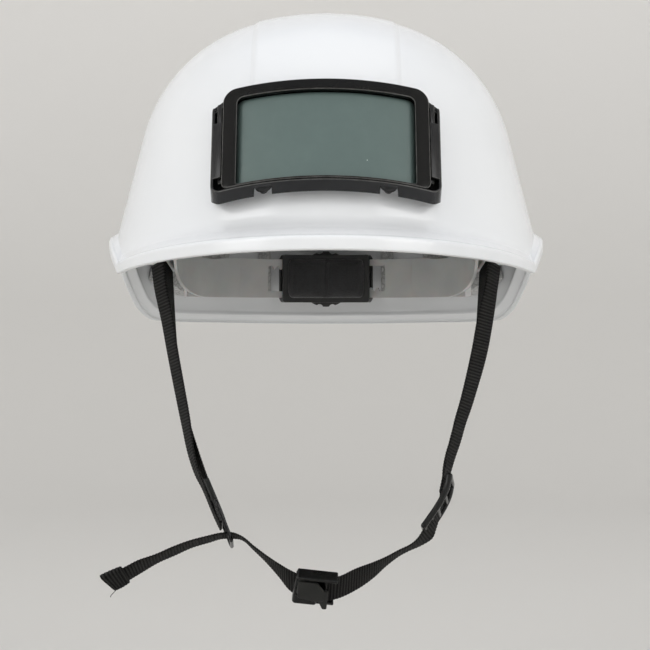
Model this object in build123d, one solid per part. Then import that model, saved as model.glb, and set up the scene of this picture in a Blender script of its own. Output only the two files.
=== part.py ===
"""Industrial safety helmet with a smoked card window on its front, a ratchet headband and a chin strap.

Millimetres. +Z is up, the brim points to -Y and +X is the left side of the person who wears it.
The origin is the centre of the head opening, on the plane of the headband's lower edge.
"""
import os
from math import asin, atan2, cos, degrees, pi, radians, sin, tan

from build123d import *

ALIGN_TOP = (Align.CENTER, Align.CENTER, Align.MAX)
ALIGN_LOW = (Align.CENTER, Align.CENTER, Align.MIN)

# --- shell: a crown arc, a shoulder arc and a drafted side, stretched front and rear ---
CROWN_Z = 121.0
CROWN_RADIUS = 142.0
SHOULDER_RADIUS = 80.0
SIDE_DRAFT = 14.5
WAIST_Z = 10.0
HALF_WIDTH = 107.0
FRONT_LENGTH = 120.0
REAR_LENGTH = 122.0
SHELL_WALL = 2.8
CROWN_BAND_WIDTH = 73.0
CROWN_BAND_RISE = 1.0
CROWN_BAND_FOOT_Z = 22.0
SKIRT_BOTTOM_Z = -60.0

# --- brim and rolled lip ---
BRIM_HALF_WIDTH = 112.0
BRIM_REACH = 146.0
BRIM_TIP_Z = -4.9
LIP_OUT = 3.1
LIP_HEIGHT_FRONT = 6.5
LIP_HEIGHT_EAR = 4.3
CREASE_RISE_FRONT = 6.2
CREASE_RISE_EAR = 3.0
LIP_ROUND = 1.2
RIM_CORNER = (-57.0, -13.3)
RIM_ARCH = [RIM_CORNER, (-28.0, -2.0), (2.0, 2.5), (35.0, -10.0), (69.0, -30.8), (92.0, -36.4)]
RIM_REAR = (150.0, -38.2)

# --- impact liner ---
LINER_GAP = 1.2
LINER_THICKNESS = 9.0
LINER_EDGE = [(-130.0, 24.0), (-40.0, 24.0), (5.0, 18.0), (32.0, 2.0), (62.0, -16.0), (90.0, -22.0)]
LINER_POCKET_RISE = 14.0
LINER_POCKET_GAP = 2.0
KNOB_ROOM = 6.0

# --- suspension: sockets, clips and hammock ---
CLIP_ANGLES = {"front": -62.0, "temple": -15.0, "ear": 21.0, "rear": 62.0}
CLIP_WIDTH = 16.0
CLIP_THICKNESS = 3.0
CLIP_TOP_Z = 21.0
CLIP_LOW_Z = 2.0
CLIP_ARM_Z = 1.0
CLIP_STUB = 4.0
CLIP_CORNER = 3.0
CLIP_ARM_HEIGHT = 5.0
CLIP_ARM_WIDTH = 8.0
SOCKET_Z = (7.0, 15.0)
SOCKET_WALL = 2.0
SOCKET_GAP = 0.25
SOCKET_STANDOFF = 1.0
HAMMOCK_TOP_Z = 92.0
HAMMOCK_RING = (24.0, 35.0)
HAMMOCK_THICKNESS = 1.6
HAMMOCK_RING_THICKNESS = 2.2
HAMMOCK_LEG_WIDTH = 13.0
HAMMOCK_LEG_TIP_WIDTH = 9.0
CLIP_Y = (SOCKET_STANDOFF, SOCKET_STANDOFF + CLIP_THICKNESS)
FOOT_Y = (10.0, 13.0)
FOOT_Z = (-10.0, 3.0)
FOOT_SLOT_Z = (-7.0, -4.0)
FOOT_MARGIN = 2.5
FOOT_CORNER = 2.0
FOOT_TURNS = {"temple": 16.0, "ear": 0.0}
HAMMOCK_CENTRE = Vector(0, 2, HAMMOCK_TOP_Z)
LEG_START_Z = 17.0
LEG_LEAN = 40.0
LEG_CROWN_SLOPE = 12.0
LEG_LAP = 3.0

# --- headband and its pads ---
BAND_RADIUS = 79.0
BAND_CENTRE_Y = 20.0
BAND_FRONT_REACH = 118.0
BAND_THICKNESS = 1.6
BAND_HEIGHT = 27.0
BAND_END_ANGLE = 38.0
BAND_LOW_EDGE = [(-60.0, 0.0), (0.0, -1.0), (30.0, -14.0)]
BAND_HIGH_EDGE = [(-60.0, BAND_HEIGHT), (-5.0, BAND_HEIGHT - 1.0), (25.0, 15.0)]
SWEAT_THICKNESS = 3.0
SWEAT_MARGIN = 1.0
SWEAT_END_Y = -18.0
SOFT_GAP = 0.3

# --- ratchet adjuster on the nape ---
ADJUSTER_Z = -12.0
RACK_HEIGHT = 22.0
RACK_THICKNESS = 1.6
RACK_GAP = 0.4
RACK_END_ANGLE = 70.0
RACK_SHOE_ANGLE = 9.0
RACK_TAIL_ANGLE = 12.0
RACK_TRAVEL = 18.0
SLOT_END_ANGLE = 6.0
TOOTH_MODULE = 1.2
PINION_TEETH = 10
TOOTH_ADDENDUM = 0.85
TOOTH_BACKLASH = 0.55
HOUSING_HALF_ANGLE = 18.0
HOUSING_WALL = 1.7
COVER_THICKNESS = 2.6
HOUSING_BORDER = 2.4
HOUSING_CORNER = 1.2
COVER_CORNER = 3.0
KNOB_RADIUS = 16.0
KNOB_DEPTH = 10.0
KNOB_GAP = 0.5
KNOB_ROUND = 2.0
KNOB_SCALLOPS = 14
SCALLOP_RADIUS = 2.1
DISH_RADII = (5.4, 11.5)
DISH_DEPTH = 0.8
SHAFT_RADIUS = 3.0
KNOB_SCREW_RADIUS = 3.2
NAPE_PAD_THICKNESS = 4.0
NAPE_PAD_INSET = 1.8
NAPE_PAD_CORNER = 4.0
RUN_CLEARANCE = 0.2
BEARING_GAP = 0.08
ROOT_GAP = 0.3
FLANK_ANGLE = 22.0
JOURNAL_LENGTH = 1.2
KNOB_SCREW_DEPTH = 2.2
RACK_Z = (ADJUSTER_Z - RACK_HEIGHT / 2, ADJUSTER_Z + RACK_HEIGHT / 2)
RACK_IN = BAND_RADIUS + BAND_THICKNESS + RACK_GAP
RACKS = {
    "left": (RACK_IN, RACK_IN + RACK_THICKNESS),
    "right": (RACK_IN + RACK_THICKNESS + RACK_GAP, RACK_IN + 2 * RACK_THICKNESS + RACK_GAP),
}
PINION_RADIUS = TOOTH_MODULE * PINION_TEETH / 2
TOOTH_PITCH = pi * TOOTH_MODULE
SLOT_TOOTHED = PINION_RADIUS + TOOTH_ADDENDUM + ROOT_GAP
SLOT_PLAIN = PINION_RADIUS + TOOTH_ADDENDUM + 0.5
HOUSING_RADII = (RACK_IN - RUN_CLEARANCE - HOUSING_WALL, RACKS["right"][1] + RUN_CLEARANCE)
COVER_RADII = (HOUSING_RADII[1] + 0.05, HOUSING_RADII[1] + 0.05 + COVER_THICKNESS)
HOUSING_Z = (RACK_Z[0] - RUN_CLEARANCE - HOUSING_BORDER, RACK_Z[1] + RUN_CLEARANCE + HOUSING_BORDER)
HOUSING_ANGLES = (-HOUSING_HALF_ANGLE, HOUSING_HALF_ANGLE)
KNOB_START = COVER_RADII[1] + KNOB_GAP

# --- card window module: a tray with side rails, and a cassette that slides up out of it ---
MODULE_TILT = 24.0
MODULE_FACE_Y = -119.3
MODULE_FACE_Z = 51.0
FACE_RADIUS = 104.0
FLOOR_RADII = (FACE_RADIUS - 6.8, FACE_RADIUS - 5.6)
TRAY_HALF_WIDTH = 54.2
TRAY_BOTTOM = -29.6
TRAY_TOP = 24.0
TRAY_CORNER = 6.0
TRAY_WALL = 3.2
TRAY_WALL_RADIUS = FACE_RADIUS - 1.4
TRAY_FLOOR_RIM = 8.0
TRAY_SETBACK = 0.3
TRAY_SKIRT_FRONT = -25.7
NOTCH_FLOOR = 0.8
LIP_SPAN = (-15.4, 16.9)
RAIL_LIP_THICKNESS = 1.5
NOTCH_X = 30.0
NOTCH_WIDTH = 7.4
PAD_INSET = 1.2
PAD_GAP = 0.05
BEZEL_HALF_WIDTH = 48.4
BEZEL_BOTTOM = -24.4
BEZEL_TONGUE = 1.6
BEZEL_TOP = 27.8
BEZEL_CORNER = 5.0
BEZEL_BACK_RADIUS = FACE_RADIUS - 5.3
FLANGE_RADII = (BEZEL_BACK_RADIUS, FACE_RADIUS - 3.3)
FLANGE_REACH = 1.9
WINDOW_HALF_WIDTH = 41.6
WINDOW_SPAN = (-23.2, 20.0)
WINDOW_CORNER = 3.5
WINDOW_LEDGE = 2.4
PANE_RADII = (FACE_RADIUS - 4.8, FACE_RADIUS - 3.2)
SLIDE_CLEARANCE = 0.3
SCREW_TOP = (24.5, 14.0)
SCREW_LOW = (30.0, -26.0)
SCREW_HEAD_RADIUS = 2.1
SCREW_SHANK_RADIUS = 1.5
SCREW_SOCKET_RADIUS = 0.9
SCREW_SOCKET_DEPTH = 0.5
SCREW_EAR_RADIUS = 3.4
NUT_RADIUS = 3.4
NUT_THICKNESS = 2.4
SCREW_REACH = 22.0
SCREW_HOLE_GAP = 0.25
SCREW_HEAD_DEPTH = 1.0
NUT_STANDOFF = 0.9
BEZEL_ROUND = 0.45
MODULE_DEPTH = (0.5 * FACE_RADIUS, 1.25 * FACE_RADIUS)
MODULE = Pos(
    0,
    MODULE_FACE_Y + FACE_RADIUS * cos(radians(MODULE_TILT)),
    MODULE_FACE_Z - FACE_RADIUS * sin(radians(MODULE_TILT)),
) * Rot(-MODULE_TILT, 0, 0)

# --- webbing harness ---
WEB_WIDTH = 15.0
WEB_THICKNESS = 1.3
SLIDER_WIDTH = 22.0
SLIDER_SLOT = 5.0
SLIDER_CORNER = 3.0
RING_WIRE = 1.1
RING_CORNER = 0.9
RING_GAP = 0.3
STRAP_TOP_GAP = 0.9
STRAP_END_DEPTH = 9.0
LAYER_OFFSET = 0.95
CHANNEL_THICKNESS = 4.1
CHANNEL_WIDTH = WEB_WIDTH + 1.8
SLIDER_SKIN = 0.9
RING_SPAN = 19.8
RING_DROP = 7.8
THREAD_OFFSET = -1.3
SLIDER_TOP = {"left": (-62.6, -42.0, -116.7), "right": (63.8, -42.0, -115.8)}
SLIDER_FOOT = {"left": (-54.6, -48.5, -136.4), "right": (53.6, -51.5, -143.2)}
SLIDER_FACE = (0.95, -0.3, 0.0)
FRONT_STRAP = [(80.4, -30.0, -36.0), (74.4, -34.0, -66.0)]
REAR_STRAP = [(78.5, 12.5, -42.0), (72.8, -16.0, -76.0)]
LEFT_CHIN = [
    ((-43.8, -52.6, -142.6), (0.1, -0.95, 0.25)),
    ((-35.2, -64.0, -147.5), (0.1, -0.9, 0.38)),
    ((-27.1, -72.0, -152.9), (0.1, -0.8, 0.55)),
]
RIGHT_CHIN = [
    ((47.8, -53.5, -147.6), (-0.1, -0.93, 0.3)),
    ((40.5, -57.5, -149.6), (-0.1, -0.88, 0.45)),
    ((29.3, -65.0, -155.2), (0.0, -0.78, 0.6)),
    ((18.4, -73.0, -160.0), (0.0, -0.65, 0.75)),
]
TAIL = [
    ((-101.5, -58.0, -161.6), (0.35, -0.7, -0.5)),
    ((-94.5, -57.0, -158.4), (0.3, -0.8, -0.4)),
    ((-83.5, -56.0, -153.5), (0.2, -0.9, -0.3)),
    ((-72.5, -55.0, -148.7), (0.1, -0.95, -0.1)),
    ((-62.0, -53.5, -144.6), (0.1, -0.98, 0.1)),
]
HEM_END = (-109.0, -59.0, -165.4)
HEM_THICKNESS = 3.6

# --- chin buckle: X along the webbing, Y across it, Z out of the face ---
BUCKLE_CENTRE = (-5.3, -78.0, -165.6)
BUCKLE_PITCH = 37.0
BUCKLE_ROLL = 3.0
BUCKLE_LENGTH = 21.0
BUCKLE_WIDTH = 20.0
BUCKLE_WALL = 2.0
BUCKLE_FLOOR = 1.4
BUCKLE_CORNER = 2.0
BUCKLE_PIN_RADIUS = 1.0
LEVER_THICKNESS = 1.8
LEVER_GAP = 0.3
LEVER_CORNER = 0.9
LEVER_OVERHANG = 2.4
LEVER_REACH = 1.2
LEVER_ARM_WIDTH = 4.5
LEVER_TAB_WIDTH = 4.0
LEVER_TAB_LENGTH = 5.5
HUB_RADIUS = 2.1
PIN_X, PIN_Z = -7.4, 3.1
BAR_X = 4.6
BAR_RADIUS = 1.4
FRAME_Z = (-2.6, 4.4)
TAB_X = 2.3
LEFT_MOUTH = [(-16.5, 2.2, -4.5), (-11.5, 0.3, -1.6), (-7.0, 0.0, 0.0), (-2.0, 0.0, 0.0)]
RIGHT_MOUTH = [(14.5, 1.0, -2.2), (11.0, 0.2, -0.6), (6.3, 0.0, 0.0)]
BUCKLE = Plane(
    origin=BUCKLE_CENTRE,
    x_dir=(1, 0, 0),
    z_dir=(0, -cos(radians(BUCKLE_PITCH)), -sin(radians(BUCKLE_PITCH))),
).location * Rot(0, 0, -BUCKLE_ROLL)

os.makedirs("parts", exist_ok=True)
SIDES = {"left": -1.0, "right": 1.0}


def save(name, solid):
    """Write one sub-part to its STEP file."""
    export_step(solid, f"parts/{name}.step")


# ---------------------------------------------------------------- dome and rim
def dome_side_radius(z, inset=0.0):
    """Half width of the drafted side wall at height z, moved inwards by inset."""
    return HALF_WIDTH + (WAIST_Z - z) * tan(radians(SIDE_DRAFT)) - inset / cos(radians(SIDE_DRAFT))


def dome_stretch(inset, rear):
    """Factor that turns the dome's half width into its front or rear length."""
    length = REAR_LENGTH if rear else FRONT_LENGTH
    return (length - inset) / (HALF_WIDTH - inset)


def dome_profile(inset):
    """Half profile in the XZ plane: crown arc, tangent shoulder arc, drafted side."""
    draft = radians(SIDE_DRAFT)
    crown_centre = CROWN_Z - CROWN_RADIUS
    reach = HALF_WIDTH * cos(draft) + (WAIST_Z - crown_centre) * sin(draft) - SHOULDER_RADIUS
    lean = asin(reach / (CROWN_RADIUS - SHOULDER_RADIUS)) - draft
    centre_x = (CROWN_RADIUS - SHOULDER_RADIUS) * sin(lean)
    centre_z = crown_centre + (CROWN_RADIUS - SHOULDER_RADIUS) * cos(lean)
    crown, shoulder = CROWN_RADIUS - inset, SHOULDER_RADIUS - inset
    middle = (lean + pi / 2 - draft) / 2

    def on_crown(angle):
        return (crown * sin(angle), 0, crown_centre + crown * cos(angle))

    def on_shoulder(angle):
        return (centre_x + shoulder * sin(angle), 0, centre_z + shoulder * cos(angle))

    side_top = on_shoulder(pi / 2 - draft)
    side_foot = (dome_side_radius(SKIRT_BOTTOM_Z, inset), 0, SKIRT_BOTTOM_Z)
    edges = [
        ThreePointArc(on_crown(0), on_crown(lean / 2), on_crown(lean)),
        ThreePointArc(on_shoulder(lean), on_shoulder(middle), side_top),
        Line(side_top, side_foot),
        Line(side_foot, (0, 0, SKIRT_BOTTOM_Z)),
        Line((0, 0, SKIRT_BOTTOM_Z), on_crown(0)),
    ]
    return make_face(Wire(edges))


def dome(inset=0.0):
    """Solid dome whose surface lies inset inside the shell's outer surface."""
    face = dome_profile(inset)
    rear = scale(revolve(face, Axis.Z, 180), by=(1, dome_stretch(inset, True), 1))
    front = scale(revolve(face, Axis.Z, -180), by=(1, dome_stretch(inset, False), 1))
    return front + rear


def rim_wire():
    """Lower edge of the shell in the side view, as a wire in the YZ plane."""
    front = (-BRIM_REACH, BRIM_TIP_Z)
    arch = [(0, y, z) for y, z in RIM_ARCH]
    rear_slope = (RIM_REAR[1] - RIM_ARCH[-1][1]) / (RIM_REAR[0] - RIM_ARCH[-1][0])
    return [
        Line((0, front[0] - 20, front[1]), (0, *front)),
        Line((0, *front), arch[0]),
        Spline(arch, tangents=[(0, 1, 0.62), (0, 1, rear_slope)]),
        Line(arch[-1], (0, *RIM_REAR)),
    ]


RIM_EDGES = rim_wire()


def rim_height(y):
    """Height of the shell's lower edge at a given y."""
    for edge in RIM_EDGES:
        low, high = 0.0, 1.0
        if y > (edge @ 1).Y:
            continue
        for _ in range(40):
            middle = (low + high) / 2
            if (edge @ middle).Y < y:
                low = middle
            else:
                high = middle
        return (edge @ low).Z
    return RIM_REAR[1]


def above_rim(lift=0.0):
    """Block that holds everything above the rim line, lifted by lift."""
    start, end = RIM_EDGES[0] @ 0, RIM_EDGES[-1] @ 1
    top = CROWN_Z + 40
    outline = RIM_EDGES + [
        Line(end, (0, end.Y, top)),
        Line((0, end.Y, top), (0, start.Y, top)),
        Line((0, start.Y, top), start),
    ]
    block = extrude(make_face(Wire(outline)), 2 * BRIM_HALF_WIDTH, dir=(1, 0, 0), both=True)
    return Pos(0, 0, lift) * block


def blend(front, ear, angle):
    """Value that goes smoothly from its front size to its size at the ears and behind."""
    share = max(0.0, -sin(radians(angle)))
    return ear + (front - ear) * share ** 0.7


def lip_section(angle, inset):
    """One closed section of the brim and lip at a plan angle; -90 is the front centre."""
    c, s = cos(radians(angle)), sin(radians(angle))
    rear = s > 0
    y, half_width, reach = 0.0, BRIM_HALF_WIDTH, BRIM_REACH
    for _ in range(12):
        if rear:
            half_width = dome_side_radius(rim_height(y)) + LIP_OUT
            reach = dome_side_radius(rim_height(y)) * dome_stretch(0, True) + LIP_OUT
        y = reach * s
    lip_top = rim_height(y) + blend(LIP_HEIGHT_FRONT, LIP_HEIGHT_EAR, angle)
    crease = lip_top + blend(CREASE_RISE_FRONT, CREASE_RISE_EAR, angle)
    root = dome_side_radius(crease) - 0.6 - inset
    core = 0.8 * HALF_WIDTH
    stretch = dome_stretch(0, rear)
    drop = inset * 0.9

    def point(width, length, z):
        return Vector(width * c, length * s, z)

    half_width, reach = half_width - inset, reach - inset
    return [
        point(core, core * stretch, SKIRT_BOTTOM_Z),
        point(half_width, reach, SKIRT_BOTTOM_Z),
        point(half_width, reach, lip_top - drop - LIP_ROUND),
        point(half_width - LIP_ROUND, reach - LIP_ROUND, lip_top - drop),
        point(root, root * stretch, crease - drop),
        point(core, core * stretch, crease - drop),
    ]


def lip_ring(inset=0.0):
    """Brim and lip all round, solid to well inside the dome."""
    angles = [-90, -78, -66, -54, -42, -31, -21, -11, 0, 10, 20, 30, 40, 52, 65, 78, 90]
    wires = [Wire.make_polygon(lip_section(angle, inset), close=True) for angle in angles]
    right = Solid.make_loft(wires)
    return right + mirror(right, Plane.YZ)


def envelope(inset=0.0):
    """Dome and brim together, moved inwards by inset."""
    return dome(inset) + lip_ring(inset)


# ---------------------------------------------------------------- places on the dome
def wall_point(angle, z, inset):
    """Point on the inset dome wall at a plan angle, and the wall's outward direction in plan."""
    a = dome_side_radius(z, inset)
    b = a * dome_stretch(inset, angle > 0)
    c, s = cos(radians(angle)), sin(radians(angle))
    normal = Vector(c / a, s / b, 0).normalized()
    return Vector(a * c, b * s, z), normal


def at_wall(angle, z, inset, side):
    """Location beside the wall with Z up from the origin's level, X along the wall and Y inwards."""
    point, normal = wall_point(angle, z, inset)
    plane = Plane(
        origin=(side * point.X, point.Y, 0),
        x_dir=(-normal.Y, side * normal.X, 0),
        z_dir=(0, 0, 1),
    )
    return plane.location


def block(x_range, y_range, z_range):
    """Box between two values on each axis."""
    size = [high - low for low, high in (x_range, y_range, z_range)]
    centre = [(high + low) / 2 for low, high in (x_range, y_range, z_range)]
    return Pos(*centre) * Box(*size)


def around(width):
    """Range of a width laid evenly about zero."""
    return (-width / 2, width / 2)


# ---------------------------------------------------------------- suspension places
def clip_places():
    """Name, plan angle, side and location of each suspension clip."""
    for place, angle in CLIP_ANGLES.items():
        for hand, side in SIDES.items():
            yield f"{place}_{hand}", place, side, at_wall(angle, CLIP_TOP_Z, SHELL_WALL, side)


def sockets():
    """Moulded sockets on the inside of the shell that take the clips."""
    width = CLIP_WIDTH + 2 * SOCKET_GAP
    face = CLIP_Y[1] + SOCKET_GAP + SOCKET_WALL
    outer = Compound([
        location * block(around(width + 2 * SOCKET_WALL), (-12, face), SOCKET_Z)
        for _, _, _, location in clip_places()
    ])
    slots = Compound([
        location * block(around(width), (CLIP_Y[0] - SOCKET_GAP, CLIP_Y[1] + SOCKET_GAP), (-30, 40))
        for _, _, _, location in clip_places()
    ])
    return outer, slots


# ---------------------------------------------------------------- module frame


def footprint(half_width, bottom, top, corner):
    """Prism with rounded corners that faces the module's front."""
    outline = Pos(0, (bottom + top) / 2) * RectangleRounded(2 * half_width, top - bottom, corner)
    face = Plane.XZ.offset(MODULE_DEPTH[0]) * outline
    return extrude(face, MODULE_DEPTH[1] - MODULE_DEPTH[0])


def tube_wall(radii, bottom=-60.0, top=60.0):
    """Upright tube wall of the module between two radii."""
    middle = (bottom + top) / 2
    wall = Cylinder(radii[1], top - bottom) - Cylinder(radii[0], top - bottom)
    return Pos(0, 0, middle) * wall


def screw_places():
    """Module locations of the four tray screws: Z points out of the helmet, origin on the tray floor."""
    for x, z in (SCREW_TOP, SCREW_LOW):
        for side in SIDES.values():
            angle = degrees(asin(x / FLOOR_RADII[1]))
            on_floor = Pos(0, 0, z) * Rot(0, 0, side * angle) * Pos(0, -FLOOR_RADII[1], 0)
            yield MODULE * on_floor * Rot(90, 0, 0)


def screw_holes(radius):
    """Holes for the tray screws, from the tray floor to inside the shell."""
    return Compound([
        place * Pos(0, 0, -SCREW_REACH / 2) * Cylinder(radius, SCREW_REACH + 2)
        for place in screw_places()
    ])


# ---------------------------------------------------------------- shell and liner
def crown_band():
    """Raised band over the crown, from front to rear."""
    strip = block(around(CROWN_BAND_WIDTH), (-200, 200), (CROWN_BAND_FOOT_Z, CROWN_Z + 10))
    return (dome(-CROWN_BAND_RISE) - dome(1.0)) & strip


def make_shell():
    """Moulded outer shell with brim, rolled lip, crown band and clip sockets."""
    outer_sockets, slots = sockets()
    lugs = (outer_sockets - slots) & dome(SHELL_WALL / 2)
    skin = envelope() - envelope(SHELL_WALL)
    return (skin + crown_band() + lugs) & above_rim() - screw_holes(SCREW_SHANK_RADIUS + SCREW_HOLE_GAP)


def side_view_block(points, top, half_width=200.0):
    """Block above a smooth line that is drawn in the side view."""
    line = Spline([(0, y, z) for y, z in points])
    first, last = points[0][0], points[-1][0]
    ends = (points[0][1], points[-1][1])
    outline = [
        Line((0, first - 40, ends[0]), (0, first, ends[0])),
        line,
        Line((0, last, ends[1]), (0, last + 80, ends[1])),
        Line((0, last + 80, ends[1]), (0, last + 80, top)),
        Line((0, last + 80, top), (0, first - 40, top)),
        Line((0, first - 40, top), (0, first - 40, ends[0])),
    ]
    return extrude(make_face(Wire(outline)), half_width, dir=(1, 0, 0), both=True)


def make_liner():
    """Foam liner inside the dome, cut back around the clips and the tray's nuts."""
    outer = SHELL_WALL + LINER_GAP
    body = (dome(outer) - dome(outer + LINER_THICKNESS)) & side_view_block(LINER_EDGE, CROWN_Z)
    half = CLIP_WIDTH / 2 + SOCKET_GAP + SOCKET_WALL + LINER_POCKET_GAP
    pockets = Compound([
        location * block((-half, half), (-12, 20), (-60, CLIP_TOP_Z + LINER_POCKET_RISE))
        for _, _, _, location in clip_places()
    ])
    nut_room = Compound([
        place * Pos(0, 0, -SCREW_REACH / 2 - 1) * Cylinder(NUT_RADIUS + 1.0, SCREW_REACH + 10)
        for place in screw_places()
    ])
    room = KNOB_ROOM + HOUSING_RADII[1] * sin(radians(HOUSING_HALF_ANGLE))
    adjuster_room = block((-room, room), (60, 200), (-60, HOUSING_Z[1] + KNOB_ROOM))
    return body - pockets - nut_room - adjuster_room


# ---------------------------------------------------------------- headband and sweatband
def band_plan(offset=0.0):
    """Plan of the head opening: a long half ellipse in front and a half circle behind."""
    width, reach = BAND_RADIUS + offset, BAND_FRONT_REACH + offset
    front = Ellipse(width, reach) & Pos(0, -reach) * Rectangle(3 * width, 2 * reach)
    rear = Circle(width) & Pos(0, width) * Rectangle(3 * width, 2 * width)
    return Pos(0, BAND_CENTRE_Y) * (front + rear)


def band_ring(inner, outer, z_range):
    """Upright strip between two offsets of the band plan, or a filled block with no inner one."""
    height = z_range[1] - z_range[0]
    ring = extrude(band_plan(outer), height)
    if inner is not None:
        ring -= extrude(band_plan(inner), height)
    return Pos(0, 0, z_range[0]) * ring


def sector(radii, angles, z_range):
    """Part of an upright tube wall about the band's rear centre; angles run from +Y towards +X."""
    (inner, outer), (first, last) = radii, angles

    def at(radius, angle):
        return (radius * sin(radians(angle)), radius * cos(radians(angle)))

    middle = (first + last) / 2
    outline = Wire([
        ThreePointArc(at(outer, first), at(outer, middle), at(outer, last)),
        Line(at(outer, last), at(inner, last)),
        ThreePointArc(at(inner, last), at(inner, middle), at(inner, first)),
        Line(at(inner, first), at(outer, first)),
    ])
    solid = extrude(make_face(outline), z_range[1] - z_range[0])
    return Pos(0, BAND_CENTRE_Y, z_range[0]) * solid


def make_headband():
    """Headband: level in front, dropping behind the ears to the height of the adjuster."""
    ring = band_ring(0, BAND_THICKNESS, (RACK_Z[0], BAND_HEIGHT))
    ends = [(58.0, 0.4), (75.0, 0.0)]
    low = BAND_LOW_EDGE + [(y, RACK_Z[0] + step) for y, step in ends]
    high = BAND_HIGH_EDGE + [(y, RACK_Z[1] + step) for y, step in ends]
    ring = (ring & side_view_block(low, 60)) - side_view_block(high, 60)
    return ring - sector((40, 120), (-BAND_END_ANGLE, BAND_END_ANGLE), (-60, 60))


def make_sweatband():
    """Padded strip inside the front of the headband."""
    ring = band_ring(-SOFT_GAP - SWEAT_THICKNESS, -SOFT_GAP, (SWEAT_MARGIN, BAND_HEIGHT - SWEAT_MARGIN))
    return ring & block((-200, 200), (-200, SWEAT_END_Y), (-60, 60))


# ---------------------------------------------------------------- clips and hammock
def make_clip(place, location):
    """Moulded clip: tongue in its socket, arm to the headband, and a slotted foot for the ear strap."""
    low = SOCKET_Z[0] - CLIP_STUB if place == "rear" else CLIP_LOW_Z
    tongue = block(around(CLIP_WIDTH), CLIP_Y, (low, CLIP_TOP_Z))
    tongue = fillet(tongue.edges().filter_by(Axis.Y).group_by(Axis.Z)[-1], CLIP_CORNER)
    if place == "rear":
        return location * tongue
    arm = block(around(CLIP_ARM_WIDTH), (CLIP_Y[0], 60), (CLIP_ARM_Z, CLIP_ARM_Z + CLIP_ARM_HEIGHT))
    clip = location * (tongue + arm)
    if place in FOOT_TURNS:
        clip += foot_location(place, location) * strap_foot()
    return clip - band_ring(None, BAND_THICKNESS + 0.1, (-60, 60))


def foot_location(place, location):
    """Where a strap foot sits: turned to face forwards and tilted to point at the jaw slider."""
    side = 1.0 if location.position.X > 0 else -1.0
    pivot = location * Pos(0, sum(FOOT_Y) / 2, CLIP_ARM_Z + CLIP_ARM_HEIGHT / 2)
    pivot = pivot * Rot(0, 0, -side * FOOT_TURNS[place])
    target = Vector(*SLIDER_TOP["right" if side > 0 else "left"]) - pivot.position
    tilt = atan2(-target.dot(pivot.x_axis.direction), -target.Z)
    return pivot * Rot(0, degrees(tilt), 0) * Pos(0, -sum(FOOT_Y) / 2, 0)


def strap_foot():
    """Plate with a slot that the ear strap is threaded through."""
    plate = block(around(WEB_WIDTH + 2 * FOOT_MARGIN), FOOT_Y, FOOT_Z)
    plate = fillet(plate.edges().filter_by(Axis.Y), FOOT_CORNER)
    slot = block(around(WEB_WIDTH + 0.8), (0, 20), FOOT_SLOT_Z)
    return plate - slot


def strip(stations, thickness):
    """Flat strap lofted through stations of centre, direction, width direction and width."""
    wires = []
    for centre, direction, across, width in stations:
        along = Vector(*direction).normalized()
        side = Vector(*across)
        side = (side - along * side.dot(along)).normalized()
        section = Plane(origin=centre, x_dir=side, z_dir=along) * Rectangle(width, thickness)
        wires.append(section.face().outer_wire())
    return Solid.make_loft(wires)


def hammock_leg(location):
    """Leg of the hammock, from a clip's inner face up to the crown ring."""
    start = (location * Pos(0, CLIP_Y[1] + HAMMOCK_THICKNESS, LEG_START_Z)).position
    towards = Vector(start.X - HAMMOCK_CENTRE.X, start.Y - HAMMOCK_CENTRE.Y, 0)
    far, out = towards.length, towards.normalized()
    near = HAMMOCK_RING[0] + LEG_LAP
    lean, slope = radians(LEG_LEAN), tan(radians(LEG_CROWN_SLOPE))
    rise = HAMMOCK_TOP_Z - LEG_START_Z - slope * (far - near)
    length = rise / (cos(lean) - slope * sin(lean))
    bend = (far - length * sin(lean), LEG_START_Z + length * cos(lean))
    knots = [(far, LEG_START_Z), bend, (near, HAMMOCK_TOP_Z)]
    stations = []
    for step in range(7):
        t = step / 6
        weights = ((1 - t) ** 2, 2 * t * (1 - t), t ** 2)
        radius = sum(w * k[0] for w, k in zip(weights, knots))
        height = sum(w * k[1] for w, k in zip(weights, knots))
        run = (1 - t) * (knots[1][0] - knots[0][0]) + t * (knots[2][0] - knots[1][0])
        climb = (1 - t) * (knots[1][1] - knots[0][1]) + t * (knots[2][1] - knots[1][1])
        centre = Vector(HAMMOCK_CENTRE.X, HAMMOCK_CENTRE.Y, height) + out * radius
        width = HAMMOCK_LEG_WIDTH + (HAMMOCK_LEG_TIP_WIDTH - HAMMOCK_LEG_WIDTH) * t
        stations.append((centre, out * run + Vector(0, 0, climb), (-out.Y, out.X, 0), width))
    return strip(stations, HAMMOCK_THICKNESS)


def make_hammock():
    """One-piece moulded crown hammock: a ring with a leg to every clip."""
    ring = Cylinder(HAMMOCK_RING[1], HAMMOCK_RING_THICKNESS) - Cylinder(HAMMOCK_RING[0], 5)
    legs = [hammock_leg(location) for _, _, _, location in clip_places()]
    return Pos(*HAMMOCK_CENTRE) * ring + legs


# ---------------------------------------------------------------- ratchet adjuster


def tooth_face(height_below, height_above, pitch_width):
    """Trapezoid tooth about its pitch line; the tip points up."""
    slope = tan(radians(FLANK_ANGLE))
    base, tip = pitch_width / 2 + height_below * slope, pitch_width / 2 - height_above * slope
    return make_face(Polyline(
        (-base, -height_below), (base, -height_below), (tip, height_above), (-tip, height_above), close=True
    ))


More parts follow.
